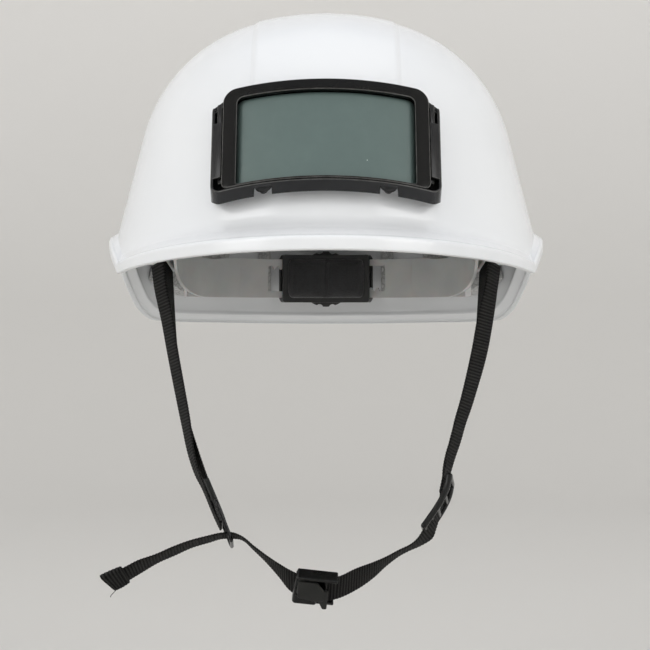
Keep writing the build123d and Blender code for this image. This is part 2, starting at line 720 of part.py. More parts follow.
def make_rack(hand):
    """Curved rack: a slotted strip with teeth along one edge of its slot and a shoe on the headband."""
    side = SIDES[hand]
    radii = RACKS[hand]
    up = 1 if hand == "left" else -1
    strip_angles = sorted((side * RACK_END_ANGLE, -side * RACK_TAIL_ANGLE))
    body = sector(radii, strip_angles, RACK_Z)
    slot_z = sorted((ADJUSTER_Z - up * SLOT_PLAIN, ADJUSTER_Z + up * SLOT_TOOTHED))
    slot_angles = (side * (RACK_TRAVEL + SLOT_END_ANGLE), side * (SLOT_END_ANGLE - RACK_TAIL_ANGLE))
    slot_angles = sorted(slot_angles)
    body -= sector((radii[0] - 1, radii[1] + 1), slot_angles, slot_z)
    shoe_angles = sorted((side * RACK_END_ANGLE, side * (RACK_END_ANGLE - RACK_SHOE_ANGLE)))
    body += sector((RACK_IN, radii[1]), shoe_angles, RACK_Z)
    step = degrees(TOOTH_PITCH / (sum(radii) / 2))
    width = TOOTH_PITCH / 2 - TOOTH_BACKLASH / 2
    face = Plane.XZ * tooth_face(TOOTH_ADDENDUM + ROOT_GAP + 0.2, TOOTH_ADDENDUM, width)
    tooth = extrude(face, RACK_THICKNESS)
    if up > 0:
        tooth = Rot(0, 180, 0) * tooth
    count = int((slot_angles[1] - 1.2) / step), int(-(slot_angles[0] + 1.2) / step)
    for index in range(-count[1], count[0] + 1):
        place = Pos(0, BAND_CENTRE_Y, ADJUSTER_Z + up * PINION_RADIUS) * Rot(0, 0, -index * step)
        body += place * Pos(0, radii[1], 0) * tooth
    return body


def make_pinion():
    """Small gear between the racks, with its shaft to the knob and a journal in the housing."""
    root = PINION_RADIUS - TOOTH_ADDENDUM - ROOT_GAP
    width = TOOTH_PITCH / 2 - TOOTH_BACKLASH
    tooth = tooth_face(TOOTH_ADDENDUM + ROOT_GAP + 0.3, TOOTH_ADDENDUM, width)
    profile = Circle(root).face()
    for index in range(PINION_TEETH):
        turn = Rot(0, 0, 360 / PINION_TEETH * index - 90)
        profile += turn * Pos(0, PINION_RADIUS) * tooth
    inner, outer = RACK_IN + 0.1, RACKS["right"][1] - 0.1
    gear = extrude(profile, outer - inner)
    shaft_end = COVER_RADII[1] + KNOB_GAP
    gear += Pos(0, 0, shaft_end - inner) * Cylinder(SHAFT_RADIUS, shaft_end - outer, align=ALIGN_TOP)
    gear += Cylinder(SHAFT_RADIUS / 2, JOURNAL_LENGTH, align=ALIGN_TOP)
    return Pos(0, BAND_CENTRE_Y + inner, ADJUSTER_Z) * Rot(-90, 0, 0) * gear


def on_adjuster_axis(distance):
    """Location on the knob's axis at a distance from the band's rear centre, Z pointing backwards."""
    return Pos(0, BAND_CENTRE_Y + distance, ADJUSTER_Z) * Rot(-90, 0, 0)


def make_housing():
    """Inner half of the adjuster: wall behind the nape, with borders that guide both racks."""
    body = sector(HOUSING_RADII, HOUSING_ANGLES, HOUSING_Z)
    body = fillet(body.edges().filter_by(lambda e: e.length < 8), HOUSING_CORNER)
    channel = sector(
        (RACK_IN - RUN_CLEARANCE, HOUSING_RADII[1] + 1),
        (-HOUSING_HALF_ANGLE - 3, HOUSING_HALF_ANGLE + 3),
        (RACK_Z[0] - RUN_CLEARANCE, RACK_Z[1] + RUN_CLEARANCE),
    )
    bore = Cylinder(SHAFT_RADIUS / 2 + BEARING_GAP, 2 * (JOURNAL_LENGTH + RUN_CLEARANCE))
    return body - channel - on_adjuster_axis(RACK_IN + 0.1) * bore


def make_cover():
    """Outer half of the adjuster, with a bearing hole for the knob's shaft."""
    body = sector(COVER_RADII, HOUSING_ANGLES, HOUSING_Z)
    body = fillet(body.edges().filter_by(lambda e: e.length < 4), COVER_CORNER)
    bearing = on_adjuster_axis(COVER_RADII[0]) * Cylinder(SHAFT_RADIUS + BEARING_GAP, 3 * COVER_THICKNESS)
    return body - bearing


def make_knob():
    """Ratchet knob with finger scallops and a recess for its screw."""
    body = Cylinder(KNOB_RADIUS, KNOB_DEPTH, align=ALIGN_LOW)
    body = fillet(body.edges().group_by(Axis.Z)[-1], KNOB_ROUND)
    grip = PolarLocations(KNOB_RADIUS + 1.0, KNOB_SCALLOPS) * Cylinder(SCALLOP_RADIUS, 3 * KNOB_DEPTH)
    face = Pos(0, 0, KNOB_DEPTH)
    recess = face * Cylinder(KNOB_SCREW_RADIUS + RUN_CLEARANCE, 2 * KNOB_SCREW_DEPTH)
    dish = face * (Cylinder(DISH_RADII[1], DISH_DEPTH * 2) - Cylinder(DISH_RADII[0], DISH_DEPTH * 2))
    return on_adjuster_axis(KNOB_START) * (body - grip - recess - dish)


def make_knob_screw():
    """Pan-head screw that holds the knob on its shaft."""
    head = Cylinder(KNOB_SCREW_RADIUS, KNOB_SCREW_DEPTH - 0.2, align=ALIGN_LOW)
    head = fillet(head.edges().group_by(Axis.Z)[-1], 0.8)
    cross = Pos(0, 0, KNOB_SCREW_DEPTH) * (Box(3.6, 0.8, 1.6) + Box(0.8, 3.6, 1.6))
    return on_adjuster_axis(KNOB_START + KNOB_DEPTH - KNOB_SCREW_DEPTH) * (head - cross)


def make_nape_pad():
    """Soft pad on the inner face of the adjuster."""
    outer = HOUSING_RADII[0] - SOFT_GAP
    angles = around(2 * (HOUSING_HALF_ANGLE - NAPE_PAD_INSET))
    z_range = (HOUSING_Z[0] + NAPE_PAD_INSET, HOUSING_Z[1] - NAPE_PAD_INSET)
    pad = sector((outer - NAPE_PAD_THICKNESS, outer), angles, z_range)
    corners = pad.edges().filter_by(lambda e: abs(e.length - NAPE_PAD_THICKNESS) < 0.1)
    return fillet(corners, NAPE_PAD_CORNER)


# ---------------------------------------------------------------- card window module
def window_opening(grow=0.0, corner=WINDOW_CORNER):
    """Prism through the window opening, grown on every side."""
    return footprint(WINDOW_HALF_WIDTH + grow, WINDOW_SPAN[0] - grow, WINDOW_SPAN[1] + grow, corner)


def tray_opening():
    """Prism through the tray's open floor, with ears left for the upper screws."""
    rim = TRAY_FLOOR_RIM
    opening = footprint(TRAY_HALF_WIDTH - rim, TRAY_BOTTOM + rim, TRAY_TOP - rim, WINDOW_CORNER)
    for side in SIDES.values():
        ear_top = SCREW_TOP[1] + rim
        ear = footprint(SCREW_EAR_RADIUS, SCREW_TOP[1] - SCREW_EAR_RADIUS, ear_top, SCREW_EAR_RADIUS - 0.1)
        opening -= Pos(side * SCREW_TOP[0], 0, 0) * ear
    return opening


def beside(inner, outer, z_range):
    """Pair of blocks left and right of the module's middle."""
    pair = [block(sorted((side * inner, side * outer)), (-140, -40), z_range) for side in SIDES.values()]
    return pair[0] + pair[1]


def tray_skirt():
    """Bottom wall of the tray: slanted underneath, with a lip in front of the cassette's lower tongue."""
    front, lip_back = FACE_RADIUS - TRAY_SETBACK, FLANGE_RADII[1] + SLIDE_CLEARANCE
    lip_top, seat = BEZEL_BOTTOM - SLIDE_CLEARANCE, BEZEL_BOTTOM - BEZEL_TONGUE - SLIDE_CLEARANCE
    section = Polyline(
        (FLOOR_RADII[0], 0, TRAY_BOTTOM),
        (front, 0, TRAY_SKIRT_FRONT),
        (front, 0, lip_top),
        (lip_back, 0, lip_top),
        (lip_back, 0, seat),
        (FLOOR_RADII[0], 0, seat),
        close=True,
    )
    return revolve(make_face(section), Axis.Z)


def make_tray():
    """Tray screwed to the shell: open floor, side rails with lips, bottom wall with two notches."""
    outline = footprint(TRAY_HALF_WIDTH, TRAY_BOTTOM, TRAY_TOP, TRAY_CORNER)
    floor = tube_wall(FLOOR_RADII) - tray_opening()
    inner_face = TRAY_HALF_WIDTH - TRAY_WALL
    walls = tube_wall((FLOOR_RADII[0], TRAY_WALL_RADIUS)) & beside(inner_face, 70, (TRAY_BOTTOM, TRAY_TOP))
    lip_radii = (TRAY_WALL_RADIUS - RAIL_LIP_THICKNESS, TRAY_WALL_RADIUS)
    lips = tube_wall(lip_radii) & beside(BEZEL_HALF_WIDTH + SLIDE_CLEARANCE, inner_face + 1, LIP_SPAN)
    tray = (floor + walls + lips + tray_skirt()) & outline
    notch_top = BEZEL_BOTTOM - BEZEL_TONGUE - SLIDE_CLEARANCE - 0.5
    for side in SIDES.values():
        notch = footprint(NOTCH_WIDTH / 2, TRAY_BOTTOM - 5, notch_top, 1.0)
        notch &= tube_wall((FLOOR_RADII[1] + NOTCH_FLOOR, FACE_RADIUS + 5))
        tray -= Pos(side * NOTCH_X, 0, 0) * notch
    sink = Pos(0, 0, -SCREW_HEAD_DEPTH) * Cylinder(SCREW_HEAD_RADIUS + SCREW_HOLE_GAP, 20, align=ALIGN_LOW)
    heads = Compound([place * sink for place in screw_places()])
    return MODULE * tray - heads - screw_holes(SCREW_SHANK_RADIUS + SCREW_HOLE_GAP)


def make_tray_pad():
    """Rubber seat between the tray and the dome, shaped to both."""
    inset = PAD_INSET
    outline = footprint(TRAY_HALF_WIDTH - inset, TRAY_BOTTOM + inset, TRAY_TOP - inset, TRAY_CORNER - inset)
    pad = (outline - tray_opening()) & Cylinder(FLOOR_RADII[0] - PAD_GAP, 160)
    strip_of_band = block(around(CROWN_BAND_WIDTH + 4 * PAD_GAP), (-200, 200), (-100, 200))
    seat = dome(-PAD_GAP) + (dome(-CROWN_BAND_RISE - PAD_GAP) & strip_of_band)
    return MODULE * pad - seat - screw_holes(SCREW_SHANK_RADIUS + SCREW_HOLE_GAP)


def make_tray_screws():
    """Four screws with flush heads that hold the tray through the shell."""
    screws = []
    for place, grip in zip(screw_places(), screw_grips()):
        head = Pos(0, 0, -SCREW_HEAD_DEPTH) * Cylinder(SCREW_HEAD_RADIUS, SCREW_HEAD_DEPTH, align=ALIGN_LOW)
        slot = Cylinder(SCREW_SOCKET_RADIUS, 2 * SCREW_SOCKET_DEPTH)
        shank = Cylinder(SCREW_SHANK_RADIUS, grip + NUT_THICKNESS, align=ALIGN_TOP)
        shank = Pos(0, 0, -SCREW_HEAD_DEPTH / 2) * shank
        screws.append(place * (head + shank - slot))
    return Compound(screws)


def screw_grips():
    """Distance from the tray floor to the shell's inner surface along each screw."""
    inside = dome(SHELL_WALL)
    grips = []
    for place in screw_places():
        direction = (place * Pos(0, 0, -1)).position - place.position
        hits = inside.find_intersection_points(Axis(place.position, direction))
        grips.append(min((point - place.position).length for point, _ in hits))
    return grips


def make_tray_nuts():
    """Nuts for the tray screws, against the inside of the shell."""
    nuts = []
    for place, grip in zip(screw_places(), screw_grips()):
        nut = Cylinder(NUT_RADIUS, NUT_THICKNESS, align=ALIGN_TOP)
        nut = Pos(0, 0, -grip - NUT_STANDOFF) * nut
        bore = Pos(0, 0, -grip) * Cylinder(SCREW_SHANK_RADIUS + 0.05, 20)
        nuts.append(place * (nut - bore))
    return Compound(nuts)


def make_bezel():
    """Curved window frame with a tongue down each side that runs in the tray's rails."""
    outline = footprint(BEZEL_HALF_WIDTH, BEZEL_BOTTOM, BEZEL_TOP, BEZEL_CORNER)
    frame = tube_wall((BEZEL_BACK_RADIUS, FACE_RADIUS)) & outline
    low = BEZEL_BOTTOM - BEZEL_TONGUE
    side_span = (BEZEL_BOTTOM + BEZEL_CORNER, LIP_SPAN[1])
    sides = beside(BEZEL_HALF_WIDTH - 2, BEZEL_HALF_WIDTH + FLANGE_REACH, side_span)
    foot = footprint(BEZEL_HALF_WIDTH - BEZEL_CORNER, low, BEZEL_BOTTOM + BEZEL_CORNER, 1.0)
    tongues = tube_wall(FLANGE_RADII) & (sides + foot)
    pocket = window_opening(WINDOW_LEDGE) & tube_wall((BEZEL_BACK_RADIUS - 1, PANE_RADII[1] + 0.1))
    frame = frame - window_opening()
    rim = [edge for edge in frame.edges() if edge_radius(edge) > FACE_RADIUS - 0.1]
    return MODULE * (fillet(rim, BEZEL_ROUND) + tongues - pocket)


def edge_radius(edge):
    """Distance of an edge's middle from the module's axis."""
    middle = edge @ 0.5
    return (middle.X ** 2 + middle.Y ** 2) ** 0.5


def make_pane():
    """Curved smoked window pane, held in the bezel's ledge."""
    pane = tube_wall(PANE_RADII) & window_opening(WINDOW_LEDGE - 0.1)
    return MODULE * pane


# ---------------------------------------------------------------- webbing harness


def web(stations):
    """Webbing through stations of centre and width direction; directions follow the neighbours."""
    points = [Vector(*centre) for centre, _ in stations]
    sections = []
    for index, (centre, across) in enumerate(stations):
        before, after = points[max(index - 1, 0)], points[min(index + 1, len(points) - 1)]
        sections.append((centre, after - before, across, WEB_WIDTH))
    return strip(sections, WEB_THICKNESS)


def width_direction(before, after, face):
    """Width direction of a strap that runs from before to after and faces outwards."""
    return (Vector(*after) - Vector(*before)).cross(Vector(*face)).normalized()


def slider_axes(hand):
    """Top of a jaw slider, its direction downwards and the direction its front faces."""
    top, foot = Vector(*SLIDER_TOP[hand]), Vector(*SLIDER_FOOT[hand])
    along = (foot - top).normalized()
    face = Vector(SIDES[hand] * SLIDER_FACE[0], SLIDER_FACE[1], SLIDER_FACE[2])
    return top, along, (face - along * face.dot(along)).normalized()


def make_ear_strap(place, points, hand, layer):
    """Ear strap from a clip's foot into the jaw slider, set off by layer towards the slider's front."""
    side = SIDES[hand]
    top, along, slider_face = slider_axes(hand)
    clip = at_wall(CLIP_ANGLES[place], CLIP_TOP_Z, SHELL_WALL, side)
    foot = foot_location(place, clip) * Pos(0, sum(FOOT_Y) / 2, FOOT_Z[0] - STRAP_TOP_GAP)
    route = [foot.position] + [Vector(side * x, y, z) for x, y, z in points]
    route += [top + along * depth + slider_face * layer for depth in (-14.0, -3.0, STRAP_END_DEPTH)]
    stations = [(route[0], side * foot.x_axis.direction)]
    for index in range(1, len(route)):
        before, after = route[index - 1], route[min(index + 1, len(route) - 1)]
        share = min(1.0, index / (len(route) - 3))
        facing = slider_face * share - foot.y_axis.direction * (1 - share)
        stations.append((route[index], side * width_direction(before, after, facing)))
    return web(stations)


def chin_left_stations():
    """Left chin webbing: tail end, through the strap ring, then into the buckle under its cam."""
    across = (slider_location("left") * Pos(1, 0, 0)).position - slider_location("left").position
    through = ((ring_location() * Pos(THREAD_OFFSET, 0, 0)).position, -across)
    return TAIL + [through] + LEFT_CHIN + buckle_entry(LEFT_MOUTH)


def chin_right_stations():
    """Right chin webbing: from inside the right slider to the buckle's bar."""
    top, along, _ = slider_axes("right")
    foot = Vector(*SLIDER_FOOT["right"])
    across = (slider_location("right") * Pos(1, 0, 0)).position - top
    start = [(foot + along * depth, across) for depth in (-STRAP_END_DEPTH, -4.0, 0.8)]
    return start + RIGHT_CHIN + buckle_entry(RIGHT_MOUTH)


def buckle_entry(places):
    """Last stations of a strap, given in the buckle's own directions."""
    width = (BUCKLE * Pos(0, 1, 0)).position - BUCKLE.position
    return [((BUCKLE * Pos(*place)).position, width) for place in places]


def slider_location(hand):
    """Location of a jaw slider: Z along it downwards, Y out of its front face, X across."""
    top, along, face = slider_axes(hand)
    return Plane(origin=top, x_dir=face.cross(along), z_dir=along).location


def make_slider(hand):
    """Moulded ladder slider: a flat sleeve with two slots in its front and rounded corners."""
    length = (Vector(*SLIDER_FOOT[hand]) - Vector(*SLIDER_TOP[hand])).length
    middle = Pos(0, 0, length / 2)
    depth = CHANNEL_THICKNESS + 2 * SLIDER_SKIN
    plate = middle * Box(SLIDER_WIDTH, depth, length)
    plate = fillet(plate.edges().filter_by(Axis.Y), SLIDER_CORNER)
    plate -= middle * Box(CHANNEL_WIDTH, CHANNEL_THICKNESS, length + 2)
    for z in (length * 0.3, length * 0.7):
        plate -= Pos(0, 0, z) * Box(CHANNEL_WIDTH, depth + 2, SLIDER_SLOT)
    return slider_location(hand) * plate


def ring_location():
    """Centre of the strap ring below the left slider, with the slider's directions."""
    length = (Vector(*SLIDER_FOOT["left"]) - Vector(*SLIDER_TOP["left"])).length
    return slider_location("left") * Pos(0, 0, length + RING_GAP + RING_DROP / 2 + RING_WIRE)


def make_strap_ring():
    """Flat wire loop below the left slider, which the chin webbing runs through."""
    outer = Box(RING_SPAN + 2 * RING_WIRE, 2 * RING_WIRE, RING_DROP + 2 * RING_WIRE)
    inner = Box(RING_SPAN, 4 * RING_WIRE, RING_DROP)
    loop = fillet((outer - inner).edges().filter_by(Axis.Y), RING_CORNER)
    return ring_location() * loop


# ---------------------------------------------------------------- chin buckle


def make_buckle_frame():
    """Buckle frame: floor behind the webbing, two side walls and a bar at the fixed end."""
    half = BUCKLE_LENGTH / 2
    floor = block((PIN_X + 1.0, BAR_X), around(BUCKLE_WIDTH), (FRAME_Z[0], FRAME_Z[0] + BUCKLE_FLOOR))
    walls = [
        block((-half, half), sorted((y * BUCKLE_WIDTH / 2, y * (BUCKLE_WIDTH / 2 - BUCKLE_WALL))), FRAME_Z)
        for y in (-1, 1)
    ]
    bar = Pos(BAR_X, 0, 0) * Rot(90, 0, 0) * Cylinder(BAR_RADIUS, BUCKLE_WIDTH - 1)
    frame = floor + walls[0] + walls[1]
    corners = frame.edges().filter_by(Axis.Y).filter_by(lambda e: abs(abs(e.center().X) - half) < 0.01)
    frame = fillet(corners.group_by(Axis.Z)[-1], BUCKLE_CORNER) + bar
    return BUCKLE * (frame - Pos(PIN_X, 0, PIN_Z) * Rot(90, 0, 0) * Cylinder(BUCKLE_PIN_RADIUS, 60))


def make_buckle_pin():
    """Steel pin that the cam lever turns on."""
    return BUCKLE * Pos(PIN_X, 0, PIN_Z) * Rot(90, 0, 0) * Cylinder(BUCKLE_PIN_RADIUS, BUCKLE_WIDTH - 0.2)


def make_buckle_lever():
    """Cam lever: hub on the pin, a cover plate and a release tab past the frame's lower wall."""
    clear = BUCKLE_WIDTH - 2 * BUCKLE_WALL - 2 * RUN_CLEARANCE
    plate_z = (FRAME_Z[1] + LEVER_GAP, FRAME_Z[1] + LEVER_GAP + LEVER_THICKNESS)
    hub = Pos(PIN_X, 0, PIN_Z) * Rot(90, 0, 0) * Cylinder(HUB_RADIUS, clear)
    web_plate = block((PIN_X - 1.5, PIN_X + 1.5), around(clear), (PIN_Z, plate_z[1] - 0.2))
    plate = block((PIN_X - LEVER_OVERHANG, LEVER_REACH), around(clear), plate_z)
    arm = block((PIN_X + 2, TAB_X + LEVER_TAB_WIDTH), (-clear / 2, -clear / 2 + LEVER_ARM_WIDTH), plate_z)
    tab_y = (-BUCKLE_WIDTH / 2 - LEVER_TAB_LENGTH, -clear / 2 + 2)
    tab = block((TAB_X, TAB_X + LEVER_TAB_WIDTH), tab_y, plate_z)
    cover = plate + arm + tab
    cover = fillet(cover.edges().filter_by(Axis.Z), LEVER_CORNER)
    lever = cover + hub + web_plate
    return BUCKLE * (lever - Pos(PIN_X, 0, PIN_Z) * Rot(90, 0, 0) * Cylinder(BUCKLE_PIN_RADIUS + 0.05, 60))


def make_hem():
    """Folded and stitched end of the tail."""
    start, across = TAIL[0]
    along = Vector(*HEM_END) - Vector(*start)
    places = [Vector(*start) + along * 0.06, Vector(*HEM_END)]
    return strip([(place, along, across, WEB_WIDTH) for place in places], HEM_THICKNESS)


# ---------------------------------------------------------------- all sub-parts
def build():
    """Make every sub-part and write it."""
    save("shell", make_shell())
    save("impact_liner", make_liner())
    for name, place, _, location in clip_places():
        save(f"suspension_clip_{name}", make_clip(place, location))
    save("crown_hammock", make_hammock())
    save("headband", make_headband())
    save("sweatband", make_sweatband())
    save("adjuster_housing", make_housing())
    save("adjuster_cover", make_cover())
    save("adjuster_knob", make_knob())
    save("adjuster_knob_screw", make_knob_screw())
    save("adjuster_pinion", make_pinion())
    save("nape_pad", make_nape_pad())
    save("window_tray", make_tray())
    save("tray_pad", make_tray_pad())
    save("tray_screws", make_tray_screws())
    save("tray_nuts", make_tray_nuts())
    save("window_bezel", make_bezel())
    save("window_pane", make_pane())
    for hand in SIDES:
        save(f"adjuster_rack_{hand}", make_rack(hand))
        save(f"ear_strap_front_{hand}", make_ear_strap("temple", FRONT_STRAP, hand, LAYER_OFFSET))
        save(f"ear_strap_rear_{hand}", make_ear_strap("ear", REAR_STRAP, hand, -LAYER_OFFSET))
        save(f"jaw_slider_{hand}", make_slider(hand))
    save("strap_ring", make_strap_ring())
    save("chin_strap_left", web(chin_left_stations()))
    save("chin_strap_right", web(chin_right_stations()))
    save("strap_end_hem", make_hem())
    save("buckle_frame", make_buckle_frame())
    save("buckle_lever", make_buckle_lever())
    save("buckle_pin", make_buckle_pin())


if __name__ == "__main__":
    build()
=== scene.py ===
import math
import bpy
import numpy as np
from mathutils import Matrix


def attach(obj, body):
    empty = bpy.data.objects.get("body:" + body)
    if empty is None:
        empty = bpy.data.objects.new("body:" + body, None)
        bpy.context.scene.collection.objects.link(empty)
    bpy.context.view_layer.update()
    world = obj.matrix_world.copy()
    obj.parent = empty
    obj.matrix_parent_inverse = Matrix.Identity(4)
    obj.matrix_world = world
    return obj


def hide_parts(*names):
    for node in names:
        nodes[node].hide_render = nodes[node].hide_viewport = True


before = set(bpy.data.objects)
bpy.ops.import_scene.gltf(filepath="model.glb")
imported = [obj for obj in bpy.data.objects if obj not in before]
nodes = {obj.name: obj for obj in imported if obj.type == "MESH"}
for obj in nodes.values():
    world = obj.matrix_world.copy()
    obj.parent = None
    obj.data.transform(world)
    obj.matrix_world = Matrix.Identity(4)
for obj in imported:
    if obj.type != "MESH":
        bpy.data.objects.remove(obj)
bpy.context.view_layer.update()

# Numbers are millimetres in the frame's axes, X across, Y to the rear, Z up; Blender works in metres.
MM = 0.001
SIDES = (-1, 1)


# ---------------------------------------------------------------- camera
def take_camera():
    """Long lens at the height of the brim, level, looking along +Y."""
    lens = bpy.data.cameras.new("camera")
    lens.sensor_width = 36.0
    lens.lens = 106.1
    lens.shift_x = -1.0 / 650
    lens.clip_start, lens.clip_end = 0.05, 20.0
    camera = bpy.data.objects.new("camera", lens)
    camera.location = (0.0, -1.0, -0.0386)
    camera.rotation_euler = (math.pi / 2, 0.0, 0.0)
    bpy.context.scene.collection.objects.link(camera)
    bpy.context.scene.camera = camera


take_camera()


# ---------------------------------------------------------------- arrays
def smoothstep(low, high, value):
    """0 below low, 1 above high, and 3t^2 - 2t^3 between."""
    t = np.clip((value - low) / (high - low), 0.0, 1.0)
    return t * t * (3 - 2 * t)


def unit(vectors):
    """Vectors divided by their length."""
    return vectors / np.maximum(np.linalg.norm(vectors, axis=-1, keepdims=True), 1e-9)


def quarter(count):
    """Angles of a quarter circle, both ends included."""
    return np.linspace(0.0, np.pi / 2, count)


def whole_turn(count):
    """Angles of a whole circle, the end left out."""
    return np.linspace(0.0, 2 * np.pi, count, endpoint=False)


def squared(angle, power):
    """Cosine and sine, each with its size raised to a power: a circle that squares off as the power falls."""
    return [np.sign(v) * np.abs(v) ** power for v in (np.cos(angle), np.sin(angle))]


def run_length(points):
    """Distance along a run of points, at each of them."""
    return np.concatenate([[0.0], np.cumsum(np.linalg.norm(np.diff(points, axis=0), axis=1))])


def cubic(knots, values, at, slopes=None):
    """Hermite cubic through values at knots: over a step h from value a to b, with slopes p and q, it is
    (2t^3 - 3t^2 + 1) a + (t^3 - 2t^2 + t) h p + (3t^2 - 2t^3) b + (t^3 - t^2) h q. Slopes are central by default."""
    slopes = np.gradient(values, knots, axis=0) if slopes is None else slopes
    k = np.clip(np.searchsorted(knots, at) - 1, 0, len(knots) - 2)
    step = knots[k + 1] - knots[k]
    t = (at - knots[k]) / step
    if values.ndim > 1:
        step, t = step[:, None], t[:, None]
    return ((2 * t ** 3 - 3 * t ** 2 + 1) * values[k] + (t ** 3 - 2 * t ** 2 + t) * step * slopes[k]
            + (3 * t ** 2 - 2 * t ** 3) * values[k + 1] + (t ** 3 - t ** 2) * step * slopes[k + 1])


def patch(grid, rows_round=False, cols_round=True, cap_first=False, cap_last=False, cloth=None):
    """Grid of points (rows, columns, 3) as mesh arrays. Every cell is one face; a round direction joins its
    last line to its first; a cap is a fan from an end row to the mean of that row. cloth is a (rows, columns, 2)
    grid of places on the cloth. Faces are turned outwards by the sign of the enclosed volume."""
    rows, cols = grid.shape[:2]
    index = np.arange(rows * cols).reshape(rows, cols)
    if rows_round:
        index = np.vstack([index, index[:1]])
    if cols_round:
        index = np.hstack([index, index[:, :1]])
    quads = np.stack([index[:-1, :-1], index[:-1, 1:], index[1:, 1:], index[1:, :-1]], -1).reshape(-1, 4)
    points = grid.reshape(-1, 3)
    marks = np.zeros((rows * cols, 2)) if cloth is None else np.asarray(cloth, float).reshape(-1, 2)
    fans = []
    for wanted, line, keep_turn in ((cap_first, 0, False), (cap_last, -1, True)):
        if wanted:
            hub = np.full(len(index[line]) - 1, len(points))
            points = np.vstack([points, grid[line].mean(0)])
            marks = np.vstack([marks, marks[index[line, :-1]].mean(0)])
            fan = np.stack([index[line, :-1], index[line, 1:], hub], -1)
            fans.append(fan if keep_turn else fan[:, ::-1])
    fans = np.vstack(fans) if fans else np.zeros((0, 3), int)
    tris = np.vstack([quads[:, [0, 1, 2]], quads[:, [0, 2, 3]], fans])
    a, b, c = (points[tris[:, k]] - points.mean(0) for k in range(3))
    if np.einsum("ij,ij->i", a, np.cross(b, c)).sum() < 0:
        quads, fans = quads[:, ::-1], fans[:, ::-1]
    return points, quads, fans, marks


def capped(grid, cloth=None):
    """Patch with a cap at both ends."""
    return patch(grid, cap_first=True, cap_last=True, cloth=cloth)


def make_piece(name, patches, body, finish, stands_for=()):
    """One object from several patches in millimetres, riding on a body and the nodes it replaces."""
    points, faces, marks, start = [], [], [], 0
    for some_points, quads, fans, some_marks in patches:
        points.append(some_points)
        marks.append(some_marks)
        faces += (quads + start).tolist() + (fans + start).tolist()
        start += len(some_points)
    mesh = bpy.data.meshes.new(name)
    mesh.from_pydata((np.vstack(points) * MM).tolist(), [], faces)
    corners = np.zeros(len(mesh.loops), int)
    mesh.loops.foreach_get("vertex_index", corners)
    layer = mesh.uv_layers.new(name="cloth")
    layer.data.foreach_set("uv", np.vstack(marks)[corners].astype(np.float32).ravel())
    mesh.polygons.foreach_set("use_smooth", np.full(len(mesh.polygons), True))
    mesh.materials.append(finish)
    mesh.update()
    piece = bpy.data.objects.new(name, mesh)
    bpy.context.scene.collection.objects.link(piece)
    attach(piece, body)
    if stands_for:
        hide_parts(*stands_for)
    return piece


# ---------------------------------------------------------------- materials
WORN_EDGE, RIB_PITCH = 0.0003, 1.6


class Finish:
    """Material being made: its node tree, its shader, and its places on the object in metres and on the cloth."""

    def __init__(self, name):
        self.material = bpy.data.materials.new(name)
        self.material.use_nodes = True
        self.tree = self.material.node_tree
        self.shader = self.tree.nodes["Principled BSDF"]
        places = self.tree.nodes.new("ShaderNodeTexCoord").outputs
        self.place, self.cloth = places["Object"], places["UV"]

    def join(self, socket, value):
        """Gives a socket a value, or links it to the output that feeds it."""
        if isinstance(value, bpy.types.NodeSocket):
            self.tree.links.new(value, socket)
        else:
            socket.default_value = value

    def node(self, kind, inputs, output=0, **settings):
        """Output of a new node of a kind."""
        made = self.tree.nodes.new("ShaderNode" + kind)
        for key, value in settings.items():
            setattr(made, key, value)
        for key, value in inputs.items():
            self.join(made.inputs[key], value)
        return made.outputs[output]

    def feed(self, **inputs):
        """Feeds the shader; an underscore in an input's name stands for a blank."""
        for key, value in inputs.items():
            self.join(self.shader.inputs[key.replace("_", " ")], value)

    def math(self, operation, *values):
        """Arithmetic on numbers or outputs."""
        return self.node("Math", dict(enumerate(values)), operation=operation)

    def split(self, places):
        """The three parts of a place."""
        return self.node("SeparateXYZ", {"Vector": places}).node.outputs

    def mix(self, factor, a, b, blend="MIX"):
        """Colour a blended with colour b by a factor."""
        inputs = {"Factor": factor, "A": a, "B": b}
        return self.node("Mix", inputs, "Result", data_type="RGBA", blend_type=blend)

    def colour(self, signal, low, high, start=0.3, end=0.7):
        """Colour that goes from low to high as the signal goes from start to end."""
        made = self.node("ValToRGB", {"Fac": signal})
        stops = made.node.color_ramp.elements
        stops[0].position, stops[1].position = start, end
        stops[0].color, stops[1].color = (*low, 1.0), (*high, 1.0)
        return made

    def number(self, signal, low, high, start=0.3, end=0.7):
        """Number that goes from low to high as the signal goes from start to end."""
        inputs = {"Value": signal, "From Min": start, "From Max": end, "To Min": low, "To Max": high}
        return self.node("MapRange", inputs, "Result")

    def noise(self, scale, detail=3.0, roughness=0.5, place=None):
        """Fractal noise at a number of cells for each metre."""
        inputs = {"Vector": place or self.place, "Scale": scale, "Detail": detail, "Roughness": roughness}
        return self.node("TexNoise", inputs, "Fac")

    def cells(self, scale, **inputs):
        """Distance to the nearest of many random points."""
        return self.node("TexVoronoi", {"Vector": self.place, "Scale": scale, **inputs}, "Distance")

    def raised(self, signal, depth, normal=None):
        """Bump of a signal, depth in metres, over another normal."""
        inputs = {"Height": signal, "Strength": 1.0, "Distance": depth}
        if normal:
            inputs["Normal"] = normal
        return self.node("Bump", inputs, "Normal")

    def rounded(self, radius):
        """Normal with the edges rounded off."""
        return self.node("Bevel", {"Radius": radius}, "Normal", samples=6)


